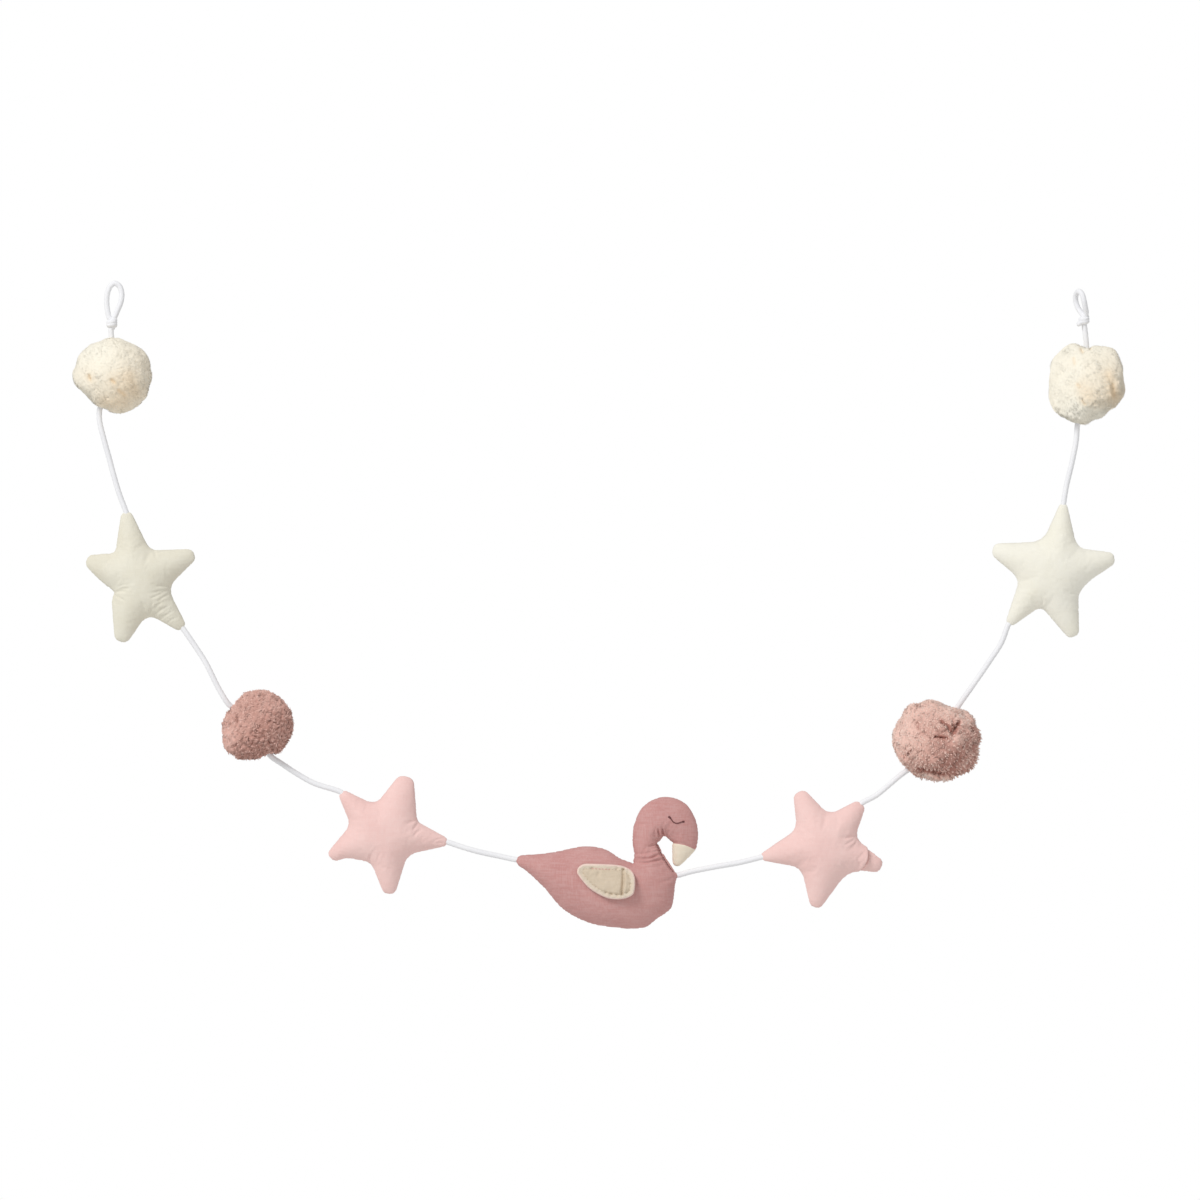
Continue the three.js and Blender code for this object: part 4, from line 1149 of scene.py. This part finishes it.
# Stars
# Of each crease: its line, depth and width, and 1 if it is in the front alone
CREASES = {
    "star_cream_left": [
        ([(4.5, -32), (12, -24.5), (22.6, -17.8)], 0.5, 1.0, 1),
        ([(9, -34), (17, -27.5), (26.2, -21.3)], 0.5, 1.0, 1),
        ([(14.5, -36.5), (22, -31), (29.7, -26.5)], 0.45, 1.0, 1),
        ([(21, -39.5), (27, -35), (33, -31.8)], 0.3, 0.9, 1),
        ([(24.8, -9.6), (18.2, -9.9), (8.5, -12.5)], 0.55, 1.1, 0),
        ([(24.8, -8.6), (18, -12.5), (8, -17)], 0.6, 1.1, 0),
        ([(25.5, -11.5), (20, -15.5), (14, -19.5)], 0.4, 1.0, 1),
        ([(25, -6.5), (19, -5.5), (13, -6.5)], 0.35, 1.1, 1),
        ([(-22.5, -11.6), (-17, -10.4), (-10.5, -10.7)], 0.5, 1.0, 0),
        ([(-20.5, -7), (-15, -5), (-9, -4.4)], 0.35, 1.0, 1),
        ([(-22.3, -13.5), (-18, -16), (-12.6, -19.2)], 0.45, 1.0, 0),
        ([(-20, -9.5), (-14, -8), (-8, -8.2)], 0.3, 0.9, 1),
        ([(5.5, -31.5), (4, -25), (0, -18)], 0.4, 1.1, 0),
        ([(7.5, -31.5), (9.5, -25), (11, -19)], 0.35, 1.0, 1),
        ([(7.5, 29), (12, 24), (14.5, 17)], 0.3, 1.2, 1),
        ([(-8, 22), (-9, 14), (-8, 7)], 0.2, 1.4, 1),
    ],
    "star_pink_left": [
        ([(30, 9.5), (27, 5), (24.7, 1.8)], 0.6, 1.1, 0),
        ([(33, 4), (29, 0.5), (25, -3.5)], 0.45, 1.1, 1),
        ([(29.5, 11), (24, 10), (19, 7)], 0.4, 1.1, 1),
        ([(52.5, -4.4), (47, -5.2), (42.5, -6.4)], 0.5, 0.9, 0),
        ([(52.5, -8.4), (48, -8.6), (44, -9.2)], 0.45, 0.9, 0),
        ([(52, -6.4), (47, -7.2), (40.5, -8)], 0.3, 0.8, 1),
        ([(-11.2, -27), (-12, -22), (-10.5, -17)], 0.5, 1.1, 0),
        ([(-13.5, -26.5), (-16, -22.5), (-16.5, -19)], 0.3, 1.0, 1),
        ([(-7, -26), (-4, -20.5), (-2.5, -16)], 0.3, 1.1, 1),
    ],
    "star_pink_right": [
        ([(26.5, 5.6), (22, 2.5), (15, -1)], 0.6, 1.1, 0),
        ([(26.5, 6.4), (21.5, 6.5), (16.5, 5)], 0.5, 1.1, 1),
        ([(27, 4.5), (25, 0), (20.5, -4)], 0.45, 1.1, 1),
        ([(33.5, -7), (30, -10), (27.5, -14.5)], 0.35, 1.1, 1),
        ([(30.5, -18.5), (28, -14), (27, -9)], 0.4, 1.1, 1),
        ([(22, -24), (18, -20), (15, -15)], 0.3, 1.2, 1),
    ],
    "star_cream_right": [
        ([(24, -18.5), (19.5, -17.5), (15.5, -18.5)], 0.4, 1.1, 0),
        ([(24.5, -17), (20.5, -13), (17.5, -9.5)], 0.3, 1.1, 1),
        ([(-8.5, -29), (-7.5, -24), (-9, -19)], 0.35, 1.1, 0),
        ([(28, -28), (24, -32), (19, -34)], 0.3, 1.1, 1),
    ],
}
PLEAT = [(28.5, -24), (32.2, -20.2), (36, -13.8), (36.6, -7.5), (36, -2.5)]
PLEAT_DROP = 3
PLEAT_BULGE = 1.1

for number, (name, star) in enumerate(STARS.items()):
    outline = star_outline(star["seam"], NET_STEP)
    places, faces, seam, _ = stuffed(name, outline, PATTERN_EASE, star["half"], star["outset"], star["slack"])
    places = crease(places, faces, CREASES[name])
    if name == "star_pink_right":
        places = pleat(places, faces, PLEAT, PLEAT_DROP, PLEAT_BULGE)
    places = crinkle(sink_seam(places, seam, outline), faces, number + 1)
    cover = make_object(name + "_cover", places + in_front(star["centre"]), faces, LOOKS[star["look"]])
    dress(cover, star["slot"], name, fill=FILL)


# Flamingo
FLAMINGO_START = (0, -0.4)
FLAMINGO_OUTSET = 0.75
FLAMINGO_HALF = 21.5
FLAMINGO_SLACK = 0.3
FLAMINGO_SEAM = {
    # stretch: its ease and its points
    "belly": (4.5, [(2.6, -4.6), (7.3, -7.6), (23.3, -22.1), (41.8, -42.6), (65.6, -54.5), (96, -58.9)]),
    "breast": (4.2, [(112, -57.5), (122, -50), (133.5, -41.5), (136, -31), (137.2, -20), (139.5, -13.1)]),
    "throat": (1.2, [(131, -1.2), (125.2, 8.3), (122.4, 14.4)]),
    "hook": (0.9, [(128.5, 20.3), (135.1, 15)]),
    "beak_under": (0.9, [(135.1, 4.3), (135.3, -1.7), (137.2, -5), (140, -5.5)]),
    "beak_over": (2.6, [(142.5, -3.8), (148, 1.6), (155.4, 9.1)]),
    "head": (4.2, [(157, 21), (154.6, 35.4), (145.1, 49.4), (126.5, 54.1), (109.5, 45.2), (101.9, 29)]),
    "nape": (3.4, [(101.2, 16), (102.6, 4), (101.4, -3.3)]),
    "back": (4.0, [(90.8, 0.4), (77, 8.7), (60.3, 11.4), (32.5, 6.2), (16.4, 4.3), (2.8, 3), FLAMINGO_START]),
}


def flamingo_outline():
    """The seam, anticlockwise from the tail, its ease and the number of each stretch's first point."""
    points, ease, first = [], [], {}
    last = FLAMINGO_START
    for name, (most, stretch) in FLAMINGO_SEAM.items():
        line = smooth_path([last, *stretch], NET_STEP)[:-1]
        first[name] = len(ease)
        points.append(line)
        ease += [most] * len(line)
        last = stretch[-1]
    weights = np.hanning(11)[1:-1] / np.hanning(11)[1:-1].sum()
    spread = np.minimum(ease, sum(w * np.roll(ease, k - 4) for k, w in enumerate(weights)))
    return np.vstack(points), spread, first


body_outline, body_ease, body_first = flamingo_outline()
beak_row = (body_first["beak_under"], (146.1, 13.8), body_first["head"])
body_outset = FLAMINGO_OUTSET * np.minimum(1, body_ease / 2)
places, faces, seam, flat = stuffed(
    "flamingo", body_outline, body_ease, FLAMINGO_HALF, body_outset, FLAMINGO_SLACK, [beak_row],
)
pattern = flat[: len(body_outline), [0, 2]]
beak_panel = np.vstack([pattern[beak_row[0]: beak_row[2]], row_of(pattern, body_outline, beak_row)[::-1]])
in_beak = is_inside(flat[faces].mean(axis=1)[:, [0, 2]], beak_panel)
FLAMINGO_CREASES = [
    ([(126.6, 6.6), (121.7, 4.4), (114.7, 1.7), (103, 0.9)], 1.7, 1.04, 0),
    ([(129.5, 0.9), (121.2, -0.1), (113.1, -1.8), (102.5, -1.6)], 1.53, 1.04, 0),
    ([(125.8, 8.6), (119, 7), (111, 5.9), (102, 5.4)], 0.61, 1.04, 0),
    ([(123.2, 14.8), (119, 13.2), (114, 11.4)], 1.1, 0.95, 0),
    ([(123.2, 12.8), (119, 10.6), (115.5, 9.4)], 0.47, 0.85, 1),
    ([(127, 20.3), (127, 23.2), (126.3, 27.5)], 2.4, 0.8, 0),
    ([(124.6, 18.4), (123.6, 22), (122.6, 27.5)], 2.1, 0.85, 0),
    ([(121.6, 15), (124.2, 18.9), (127.6, 21.6)], 1.2, 1.2, 1),
    ([(121.6, 13.4), (124.1, 7.6), (129.9, -1.9), (137.6, -12.6)], 1.7, 0.8, 1),
    ([(122.4, 16.5), (120.3, 19.5), (118.4, 24.5)], 0.9, 1.8, 1),
    ([(123, 17.2), (120.8, 22), (120, 29)], 0.68, 1.04, 0),
    ([(122.8, 16), (118, 19.5), (115, 24)], 0.41, 1.04, 1),
    ([(129.5, 20), (131.5, 24), (132, 27)], 0.61, 0.95, 0),
    ([(128, 20.6), (129.5, 25), (129.5, 29)], 0.47, 0.95, 1),
    ([(126.5, 27), (127.5, 32), (131, 34.6)], 0.3, 1.04, 1),
    ([(129.8, -1.5), (131.8, -5), (134.5, -8.5)], 1.36, 0.95, 0),
    ([(105.8, 31.2), (109, 31), (113, 31.2)], 0.34, 0.95, 1),
    ([(127, -4.5), (119, -6), (112, -5.4)], 0.34, 1.33, 1),
    ([(137.5, -15), (130, -17.5), (124, -18)], 0.41, 1.33, 1),
    ([(134.6, -37), (128, -33), (122, -30)], 0.41, 1.33, 1),
]
places = crease(places, faces, FLAMINGO_CREASES)
places = sink_seam(places, seam, body_outline)
places = sink_row(places, faces, [(135.1, 15), (146.1, 13.8), (155.4, 9.1)], 0.7, 1.1)
places = crinkle(places, faces, 7)
place_3d = in_front(FLAMINGO_PLACE)


def only(points, faces):
    """Some of a net's triangles, with just the points that they use."""
    used, again = np.unique(faces, return_inverse=True)
    return points[used], again.reshape(faces.shape)


for name, slot, part in (
    ("flamingo_body", "dusky_muslin", ~in_beak),
    ("flamingo_beak", "beak_muslin", in_beak),
):
    cover = make_object(name + "_cover", *only(places + place_3d, faces[part]), LOOKS[slot])
    dress(cover, slot, name, fill=FILL)

body_tree = BVHTree.FromPolygons([Vector(p) for p in places.tolist()], faces.tolist())


def front_of(tree, x, z):
    """How far forward the flamingo's cloth lies at X, Z of its own."""
    hit = tree.ray_cast(Vector((x, -100, z)), Vector((0, 1, 0)))
    return -hit[0].y if hit[0] else None


# The wing: padded cloth, stitched round inside its rim and once down near its rounded end
WING_EDGE = [
    (52.8, -10.3), (54.5, -13.5), (58.3, -18.5), (62.9, -23.4), (68.1, -27.1), (73.9, -30.3),
    (79.8, -32.5), (85.6, -33.3), (92.1, -33.0), (98, -31.2), (101.5, -28.3), (102.6, -24.0),
    (103, -19.0), (102.5, -14.0), (100.6, -9.7), (96.7, -6.6), (92.1, -4.7), (85.6, -3.6),
    (75.9, -3.1), (66.1, -2.7), (59, -2.9), (55.1, -4.7), (53.2, -7.2),
]
WING_STEP = 0.75
WING_PIPING = 1.1
WING_RIM = 4.2
WING_THICKNESS = 3.4
WING_SEAT = 0.9
WING_LIFT = 3.4
WING_SHOULDER = 1.5  # how far in from its edge it is rounded
WING_RIPPLE = 5.2
WING_FILL = 0.4
WING_TOP = -10  # above this the stitches are rosy in the middle
WING_GROOVE = [(92.6, -8), (92.8, -15), (92.2, -22), (91.6, -29)]
WING_RIDGE = [(94.8, -9), (95, -16), (94.4, -23), (93, -29.5)]
WING_DIMPLES = [
    # X, Z, depth and width
    (66, -7, 1.86, 1.5), (87.7, -7.2, 1.55, 1.4), (93.3, -7.4, 1.55, 1.3), (71.5, -12, 1.08, 1.8),
    (77.6, -28, 1.4, 1.5), (82.4, -28.6, 1.71, 1.5), (88, -29.6, 1.4, 1.4), (97.8, -13, 0.93, 1.5),
    (99, -20, 0.78, 1.8), (97, -27, 1.08, 1.6), (90.5, -26.5, 1.08, 1.2), (93.5, -28, 1.08, 1.2),
]

wing_outline = smooth_path(WING_EDGE, WING_STEP, closed=True)[:-1]
points, triangles = cut_panel(wing_outline, WING_STEP)
rim = len(wing_outline)
inwards = distance_to(points, ring(wing_outline))
groove, ridge = (distance_to(points, smooth_path(line, 1.0)) for line in (WING_GROOVE, WING_RIDGE))
left, right = points[:, 0].min(), points[:, 0].max()
share = (points[:, 0] - left) / (right - left)
under = np.array([front_of(body_tree, x, z) or 0.0 for x, z in points])
seat = under + WING_SEAT + WING_LIFT * share**3
edge = np.clip(inwards / WING_SHOULDER, 0, 1)
plump = np.sqrt(edge * (2 - edge))
thick = WING_THICKNESS * (0.3 + 0.62 * plump)
ripple = 1 + 0.45 * np.cos(2 * np.pi * (points[:, 0] + points[:, 1]) / WING_RIPPLE)
thick -= 0.75 * ripple * bell(inwards - WING_RIM, 0.9)
thick += 0.35 * bell(inwards - 0.9, 0.6)
thick += (1.0 * bell(ridge, 1.3) - 2.9 * bell(groove, 1.25)) * (inwards > 1.8)
for x, z, depth, width in WING_DIMPLES:
    thick -= depth * bell(np.linalg.norm(points - (x, z), axis=1), width)
thick += np.array([
    0.55 * noise.noise(Vector((x / 6, z / 6, 2.7))) + 0.3 * noise.noise(Vector((x / 2.6, z / 2.6, 9.1)))
    for x, z in points.tolist()
]) * np.clip(inwards / 2, 0, 1)
top = np.stack([points[:, 0], -seat - thick, points[:, 1]], axis=1)
low = np.stack([points[:, 0], -seat - 0.25 * (1 - plump), points[:, 1]], axis=1)
count = len(points)
wing_faces = [*map(tuple, triangles), *map(tuple, triangles[:, ::-1] + count)]
wing_faces += [(i, i + count, (i + 1) % rim + count, (i + 1) % rim) for i in range(rim)]
deepest = inwards[triangles].max(axis=1)
zone = np.where(deepest < WING_PIPING + 0.5, 2, np.where(deepest < WING_RIM + 0.4, 1, 0)).tolist()
wing = make_object(
    "flamingo_wing_cloth", np.vstack([top, low]) + place_3d, wing_faces,
    LOOKS["wing_muslin"], LOOKS["wing_border"], LOOKS["wing_rim"], face_material=zone * 2 + [2] * rim,
)
dress(wing, "wing_muslin", "flamingo_wing", fill=WING_FILL)
wing_tree = BVHTree.FromPolygons([Vector(p) for p in top.tolist()], triangles.tolist())


THREAD_STEP = 0.3
THREAD_ARCH = 0.62
THREAD_SUNK = 0.25


def sewn(name, tree, stitches, width, look):
    """Stitches of thread that lie on the cloth, each from X, Z to X, Z, arching a little."""
    parts = []
    for start, end in stitches:
        line = []
        for t in np.linspace(0, 1, 7):
            x, z = np.array(start) * (1 - t) + np.array(end) * t
            front = front_of(tree, x, z)
            if front is None:
                break
            rise = width * (THREAD_ARCH * math.sin(math.pi * t) ** 0.6 - THREAD_SUNK)
            line.append((x, -front - rise, z))
        else:
            line = smooth_path(line, THREAD_STEP)
            parts.append(tube(line, width / 2, sides=8, relief=0, ends=(0.45, 0.45)))
    points, faces = join(parts)
    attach(make_object(name, points + place_3d, faces, LOOKS[look]), "root")


def running(line, stitch, gap):
    """Stitches and gaps in turn along a line."""
    starts = np.arange(gap / 2, length_of(line) - stitch, stitch + gap)
    return [(spots_at(line, d), spots_at(line, d + stitch)) for d in starts]


inner = wing_outline - WING_RIM * normals_of_outline(wing_outline, 4)
at_top = (inner[:, 1] > WING_TOP) & (inner[:, 0] > 65.5) & (inner[:, 0] < 82)
rosy = running(inner[at_top], 2.0, 0.8)
plain = [(a, b) for a, b in running(ring(inner), 1.3, 1.9) if not (a[1] > WING_TOP and 63.5 < a[0] < 83)]
sewn("wing_stitches_rose", wing_tree, rosy, 0.7, "pink_thread")
sewn("wing_stitches", wing_tree, plain, 0.5, "tan_thread")

# Dark stitches along the throat's edge: partly the seam that closes the throat, sewn by hand, partly painted
# shadow of that edge
THROAT_SEAM_AND_SHADOW = [(121.6, 13.9), (123.8, 8.7), (126.3, 4.1), (129.8, -1.8), (133.1, -6.5), (136.8, -11.4)]
throat = running(smooth_path(THROAT_SEAM_AND_SHADOW, THREAD_STEP), 2.0, 0.35)
sewn("flamingo_throat_seam_and_shadow", body_tree, throat, 0.9, "seam_thread")

# The closed eye: back stitches side by side along its lid's line
EYE = [
    (131.6, 38.0), (133.4, 36.7), (134.5, 34.8), (136.2, 32.9),
    (138.8, 31.9), (141.6, 32.5), (143.4, 33.3), (145.5, 33.4),
]
EYE_STEP = 1.15
EYE_STITCH = 1.9
lid = smooth_path(EYE, 0.2)
lid_length = length_of(lid)
lid_stitches = []
for start in np.arange(0, lid_length - 0.6, EYE_STEP):
    a, b = spots_at(lid, start), spots_at(lid, start + EYE_STITCH)
    aside = np.array([a[1] - b[1], b[0] - a[0]]) / np.linalg.norm(b - a)
    to_end = min(start, lid_length - start - EYE_STEP)
    for row in ((-0.6, 0, 0.6) if to_end < 1.2 else (-0.17, 0.17)):
        lid_stitches.append((a + row * aside, b + 0.8 * row * aside))
sewn("flamingo_eye", body_tree, lid_stitches, 0.78, "eye_thread")


# Pompoms
CORE_PARTS = 40
OPEN_SIDE = np.array([0.6, -0.15, -0.78])
FACING = np.array([-0.25, -0.6, 0.6])  # which way soft yarn's normals lean
EXIT_ANGLE = 6.5  # round each end of the cord, in degrees, no strand grows
# Rings of a strand: how far up it, from 0 to 1, and how thick it is there
FINE_LEVELS = [(0.0, 0.9), (0.62, 1.0)]
THICK_LEVELS = [(0.0, 0.85), (0.5, 1.1), (0.88, 0.8)]


def ball(count):
    """Even directions all round."""
    k = np.arange(count) + 0.5
    z = 1 - 2 * k / count
    turn = k * math.pi * (3 - math.sqrt(5))
    flat = np.sqrt(1 - z * z)
    return np.stack([flat * np.cos(turn), flat * np.sin(turn), z], axis=1)


def scattered(count, spread, rng):
    """Directions all round that are only nearly even."""
    return unit(ball(count) + rng.normal(0, spread / math.sqrt(count), (count, 3)))


def geodesic(parts):
    """A ball of even triangles: an icosahedron whose edges are cut into so many parts."""
    gold = (1 + math.sqrt(5)) / 2
    corners = unit(np.array([
        (0, a, b) if k == 0 else (b, 0, a) if k == 1 else (a, b, 0)
        for k in range(3) for a in (-1, 1) for b in (-gold, gold)
    ], float))
    near = np.linalg.norm(corners[:, None] - corners[None], axis=2) < 1.1
    sides = [
        (a, b, c) for a in range(12) for b in range(a + 1, 12) for c in range(b + 1, 12)
        if near[a, b] and near[b, c] and near[a, c]
    ]
    spots = [(i, j) for i in range(parts + 1) for j in range(parts + 1 - i)]
    number = {spot: n for n, spot in enumerate(spots)}
    small = [(number[i, j], number[i + 1, j], number[i, j + 1]) for i, j in spots if i + j < parts]
    small += [
        (number[i + 1, j], number[i + 1, j + 1], number[i, j + 1])
        for i, j in spots if i + j < parts - 1
    ]
    spots, small = np.array(spots), np.array(small)
    share = np.stack([parts - spots.sum(axis=1), spots[:, 0], spots[:, 1]], axis=1) / parts
    points, faces = [], []
    for n, side in enumerate(sides):
        a, b, c = corners[list(side)]
        turned = small if np.linalg.det([a, b, c]) > 0 else small[:, ::-1]
        points.append(unit(share @ np.array([a, b, c])))
        faces.append(turned + n * len(spots))
    _, first, again = np.unique(np.vstack(points).round(5), axis=0, return_index=True, return_inverse=True)
    return np.vstack(points)[first], again.reshape(-1)[np.vstack(faces)]


def waves(points, size, seed, count=16):
    """Smooth unevenness of about the given size, with a spread of one."""
    rng = np.random.default_rng(seed)
    ways = unit(rng.normal(size=(count, 3))) * 2 * np.pi / (size * (0.7 + 0.9 * rng.random((count, 1))))
    return np.cos(points @ ways.T + 2 * np.pi * rng.random(count)).sum(axis=1) * math.sqrt(2 / count)


def cells(ways, seeds):
    """The nearest seed to each direction, and how near it and the second nearest are (in radians)."""
    nearest, first, second = [], [], []
    for some in np.array_split(ways, max(1, len(ways) * len(seeds) // 4000000)):
        alike = some @ seeds.T
        best = alike.argmax(axis=1)
        rows = np.arange(len(some))
        near = alike[rows, best].copy()
        alike[rows, best] = -1
        nearest.append(best)
        first.append(np.arccos(np.clip(near, -1, 1)))
        second.append(np.arccos(np.clip(alike.max(axis=1), -1, 1)))
    return np.concatenate(nearest), np.concatenate(first), np.concatenate(second)


def roughness(ways, least):
    """Pompoms are brushed smooth above on the left and left open below on the right."""
    return np.clip(0.5 + 0.55 * ways @ OPEN_SIDE, least, 1)


def pompom_form(pompom, seed):
    """Where the cut yarn's dense surface lies in each direction from the pompom's middle."""
    table = np.fft.rfft(pompom["reach"]) / len(pompom["reach"])
    mean = table[0].real
    deep = pompom["size"][1] / 2
    rng = np.random.default_rng(seed)
    tufts = scattered(pompom["tufts"], 0.35, rng)
    rise = rng.normal(0, 1, pompom["tufts"])
    exits = [np.array([math.cos(a * DEGREE), 0, math.sin(a * DEGREE)]) for a in pompom["cords"]]

    def on_front(places, kind):
        """The hollows' depth, or the strength of the painted light and shade, at places on the front."""
        total = np.zeros(len(places))
        for start, end, amount, width in pompom[kind]:
            line = np.array([start, end], float)
            total += amount * bell(distance_to(places[:, [0, 2]], line), width)
        return total * (places[:, 1] < 2)

    def painted_shading(places):
        """Painted light and shade at places: stretches in front painted paler or darker, and painted shade in
        the dents.
        """
        return on_front(places, "painted_light_and_shade") - np.minimum(0.22 * on_front(places, "hollows"), 0.9)

    def form(ways):
        turn = np.arctan2(ways[:, 2], ways[:, 0])
        flat = np.hypot(ways[:, 0], ways[:, 2])
        reach = np.full(len(ways), mean)
        for k in range(1, len(table) - 1):
            part = 2 * np.real(table[k] * np.exp(1j * k * turn))
            reach += part * (flat if k < 4 else flat**4)
        places = ways * np.stack([reach, np.full(len(ways), deep), reach], axis=1)
        body = 0.35 * (reach + deep)
        rough = roughness(ways, pompom["least"])
        lumps = pompom["lumps"] * (waves(places, 17, seed) + rough * waves(places, 8, seed + 1))
        nearest, first, second = cells(ways, tufts)
        size = 2 * mean / math.sqrt(pompom["tufts"])
        dome = pompom["dome"] * (1 - (first * mean / (0.75 * size)) ** 2) + pompom["uneven"] * rise[nearest]
        dome *= 0.4 + 0.8 * rough
        patchy = np.clip(0.55 + 0.45 * waves(places, 16, seed + 2), 0.1, 1.5)
        cleft = pompom["cleft"] * patchy * (1.3 * rough - 0.1)
        cleft *= bell((second - first) * mean, pompom["gap"])
        out = lumps + dome - cleft - pompom["fluff"] - on_front(places, "hollows")
        for way in exits:
            apart = np.linalg.norm(places - way * (places @ way)[:, None], axis=1) + 9 * (ways @ way < 0)
            out -= 1.5 * bell(apart, 3.4)
        return places + ways * np.maximum(out, -body)[:, None]

    return form, painted_shading, exits


def pompom_core(pompom, seed, form, painted_shading):
    """The dense core: its points, its triangles and how pale the yarn is at each point, which sets its
    painted shade and light.
    """
    ways, faces = geodesic(CORE_PARTS)
    core = form(ways)
    rough = roughness(ways, pompom["least"])
    # Painted light: the core is paler on the smooth upper left side, and as painted shade darker on the open
    # lower right
    inside = pompom["inside"] + pompom["pale"] * (1 - rough) + 0.25 * (0.5 - rough)
    inside += painted_shading(core)
    core += ways * (0.16 * waves(core, 2.6, seed + 3, 30))[:, None]
    return core, faces, inside


def strand_faces(count, rings):
    """The triangles of strands with three sides and a tip, each with so many rings of corners."""
    top = 3 * (rings - 1)
    turn = ((0, 1), (1, 2), (2, 0))
    pattern = []
    for low in range(0, top, 3):
        for a, b in turn:
            pattern += [(low + a, low + b, low + 3 + b), (low + a, low + 3 + b, low + 3 + a)]
    pattern += [(top + a, top + b, top + 3) for a, b in turn]
    return (np.arange(count)[:, None, None] * (top + 4) + np.array(pattern)[None]).reshape(-1, 3)


def pompom_net(pompom, seed):
    """A dense core of yarn under fine strands: the cut ends of its plies."""
    rng = np.random.default_rng(seed + 100)
    form, painted_shading, exits = pompom_form(pompom, seed)
    core, faces, inside = pompom_core(pompom, seed, form, painted_shading)
    ways = scattered(pompom["strands"], 0.9, rng)
    for way in exits:
        ways = ways[ways @ way < math.cos(EXIT_ANGLE * DEGREE)]
    count = len(ways)
    side = unit(np.cross(ways, rng.normal(size=(count, 3))))
    other = np.cross(ways, side)
    at = form(ways)
    out = unit(np.cross(form(unit(ways + 0.02 * side)) - at, form(unit(ways + 0.02 * other)) - at))
    out = unit(out + 0.6 * ways)
    flow = np.stack([waves(at, pompom["flow"], seed + 4 + k) for k in range(3)], axis=1)
    flow -= ways * (flow * ways).sum(axis=1)[:, None]
    swirl = rng.normal(0, 1, (count, 1)) * side + rng.normal(0, 1, (count, 1)) * other
    rough = roughness(ways, pompom["least"])[:, None]
    lean = pompom["brushed"] * flow + pompom["wild"] * (0.5 + 0.6 * rough) * swirl
    for way in exits:
        near = bell(np.arccos(np.clip(ways @ way, -1, 1)), 0.22)
        lean += 0.9 * near[:, None] * unit(ways - way)
    ends = scattered(pompom["ends"], 1.1, rng)
    nearest, first, second = cells(ways, ends)
    middle = np.clip((second - first) * math.sqrt(pompom["ends"]) / 1.6, 0, 1)[:, None]
    drawn = pompom["gather"] * (0.4 + 0.8 * rough) * (form(ends)[nearest] - at)
    drawn -= 0.75 * (drawn * unit(flow)).sum(axis=1)[:, None] * unit(flow)
    tall = pompom["rise"] * (0.55 + 0.6 * rough) * (0.6 + 0.8 * rng.random((count, 1)))
    tall *= 1 + pompom["bunch_height_and_shade"] * rough * (middle - 0.5)
    long = pompom["lay"] * (0.7 + 0.6 * rng.random((count, 1)))
    thick = pompom["thick"] * (0.75 + 0.5 * rng.random((count, 1)))
    corner = 2 * np.pi * rng.random(count)[:, None] + 2 * np.pi * np.arange(3) / 3
    around = np.cos(corner)[..., None] * side[:, None] + np.sin(corner)[..., None] * other[:, None]
    levels = FINE_LEVELS if pompom["fine"] else THICK_LEVELS
    rings, painted_shade_levels, shown = [], [], []
    even = 1 - pompom["grain"] * rough[:, None]
    lit = pompom["soft"] * FACING
    for level, wide in (*levels, (1.0, 0)):
        spot = at - 0.8 * ways * (1 - level)
        spot += out * tall * math.sin(level * math.pi / 2)
        spot += lean * long * level**1.6
        spot += drawn * level
        rings.append(spot[:, None] + (thick * wide)[:, None] * around if wide else spot[:, None])
        painted_shade_levels += [0.15 + 0.85 * level] * (3 if wide else 1)
        shown.append(unit(even * out[:, None] + (1 - even) * (around if wide else out[:, None]) + lit))
    strands = np.concatenate(rings, axis=1)
    more = strand_faces(count, len(levels))
    # Painted light and shade on the strands: paler on the smooth upper left side, darker between bunches
    # where shade falls, and the painted stretches in front
    light = pompom["pale"] * (1 - rough) + pompom["bunch_height_and_shade"] * rough * (middle - 0.82)
    light += painted_shading(at)[:, None]
    painted_shade_levels = np.concatenate([inside, (np.array(painted_shade_levels)[None] + light).reshape(-1)])
    softened = unit(vertex_normals(core, faces) + lit)
    normals = np.vstack([softened, np.concatenate(shown, axis=1).reshape(-1, 3)])
    return np.vstack([core, strands.reshape(-1, 3)]), np.vstack([faces, more + len(core)]), painted_shade_levels, normals


for seed, (name, pompom) in enumerate(POMPOMS.items()):
    points, faces, painted_shade_levels, normals = pompom_net(pompom, 10 * seed + 11)
    places = points + in_front(pompom["centre"])
    yarns = make_object(name + "_yarn", places, faces, LOOKS[pompom["look"]], painted_shade_levels=painted_shade_levels, normals=normals)
    dress(yarns, pompom["slot"], name)
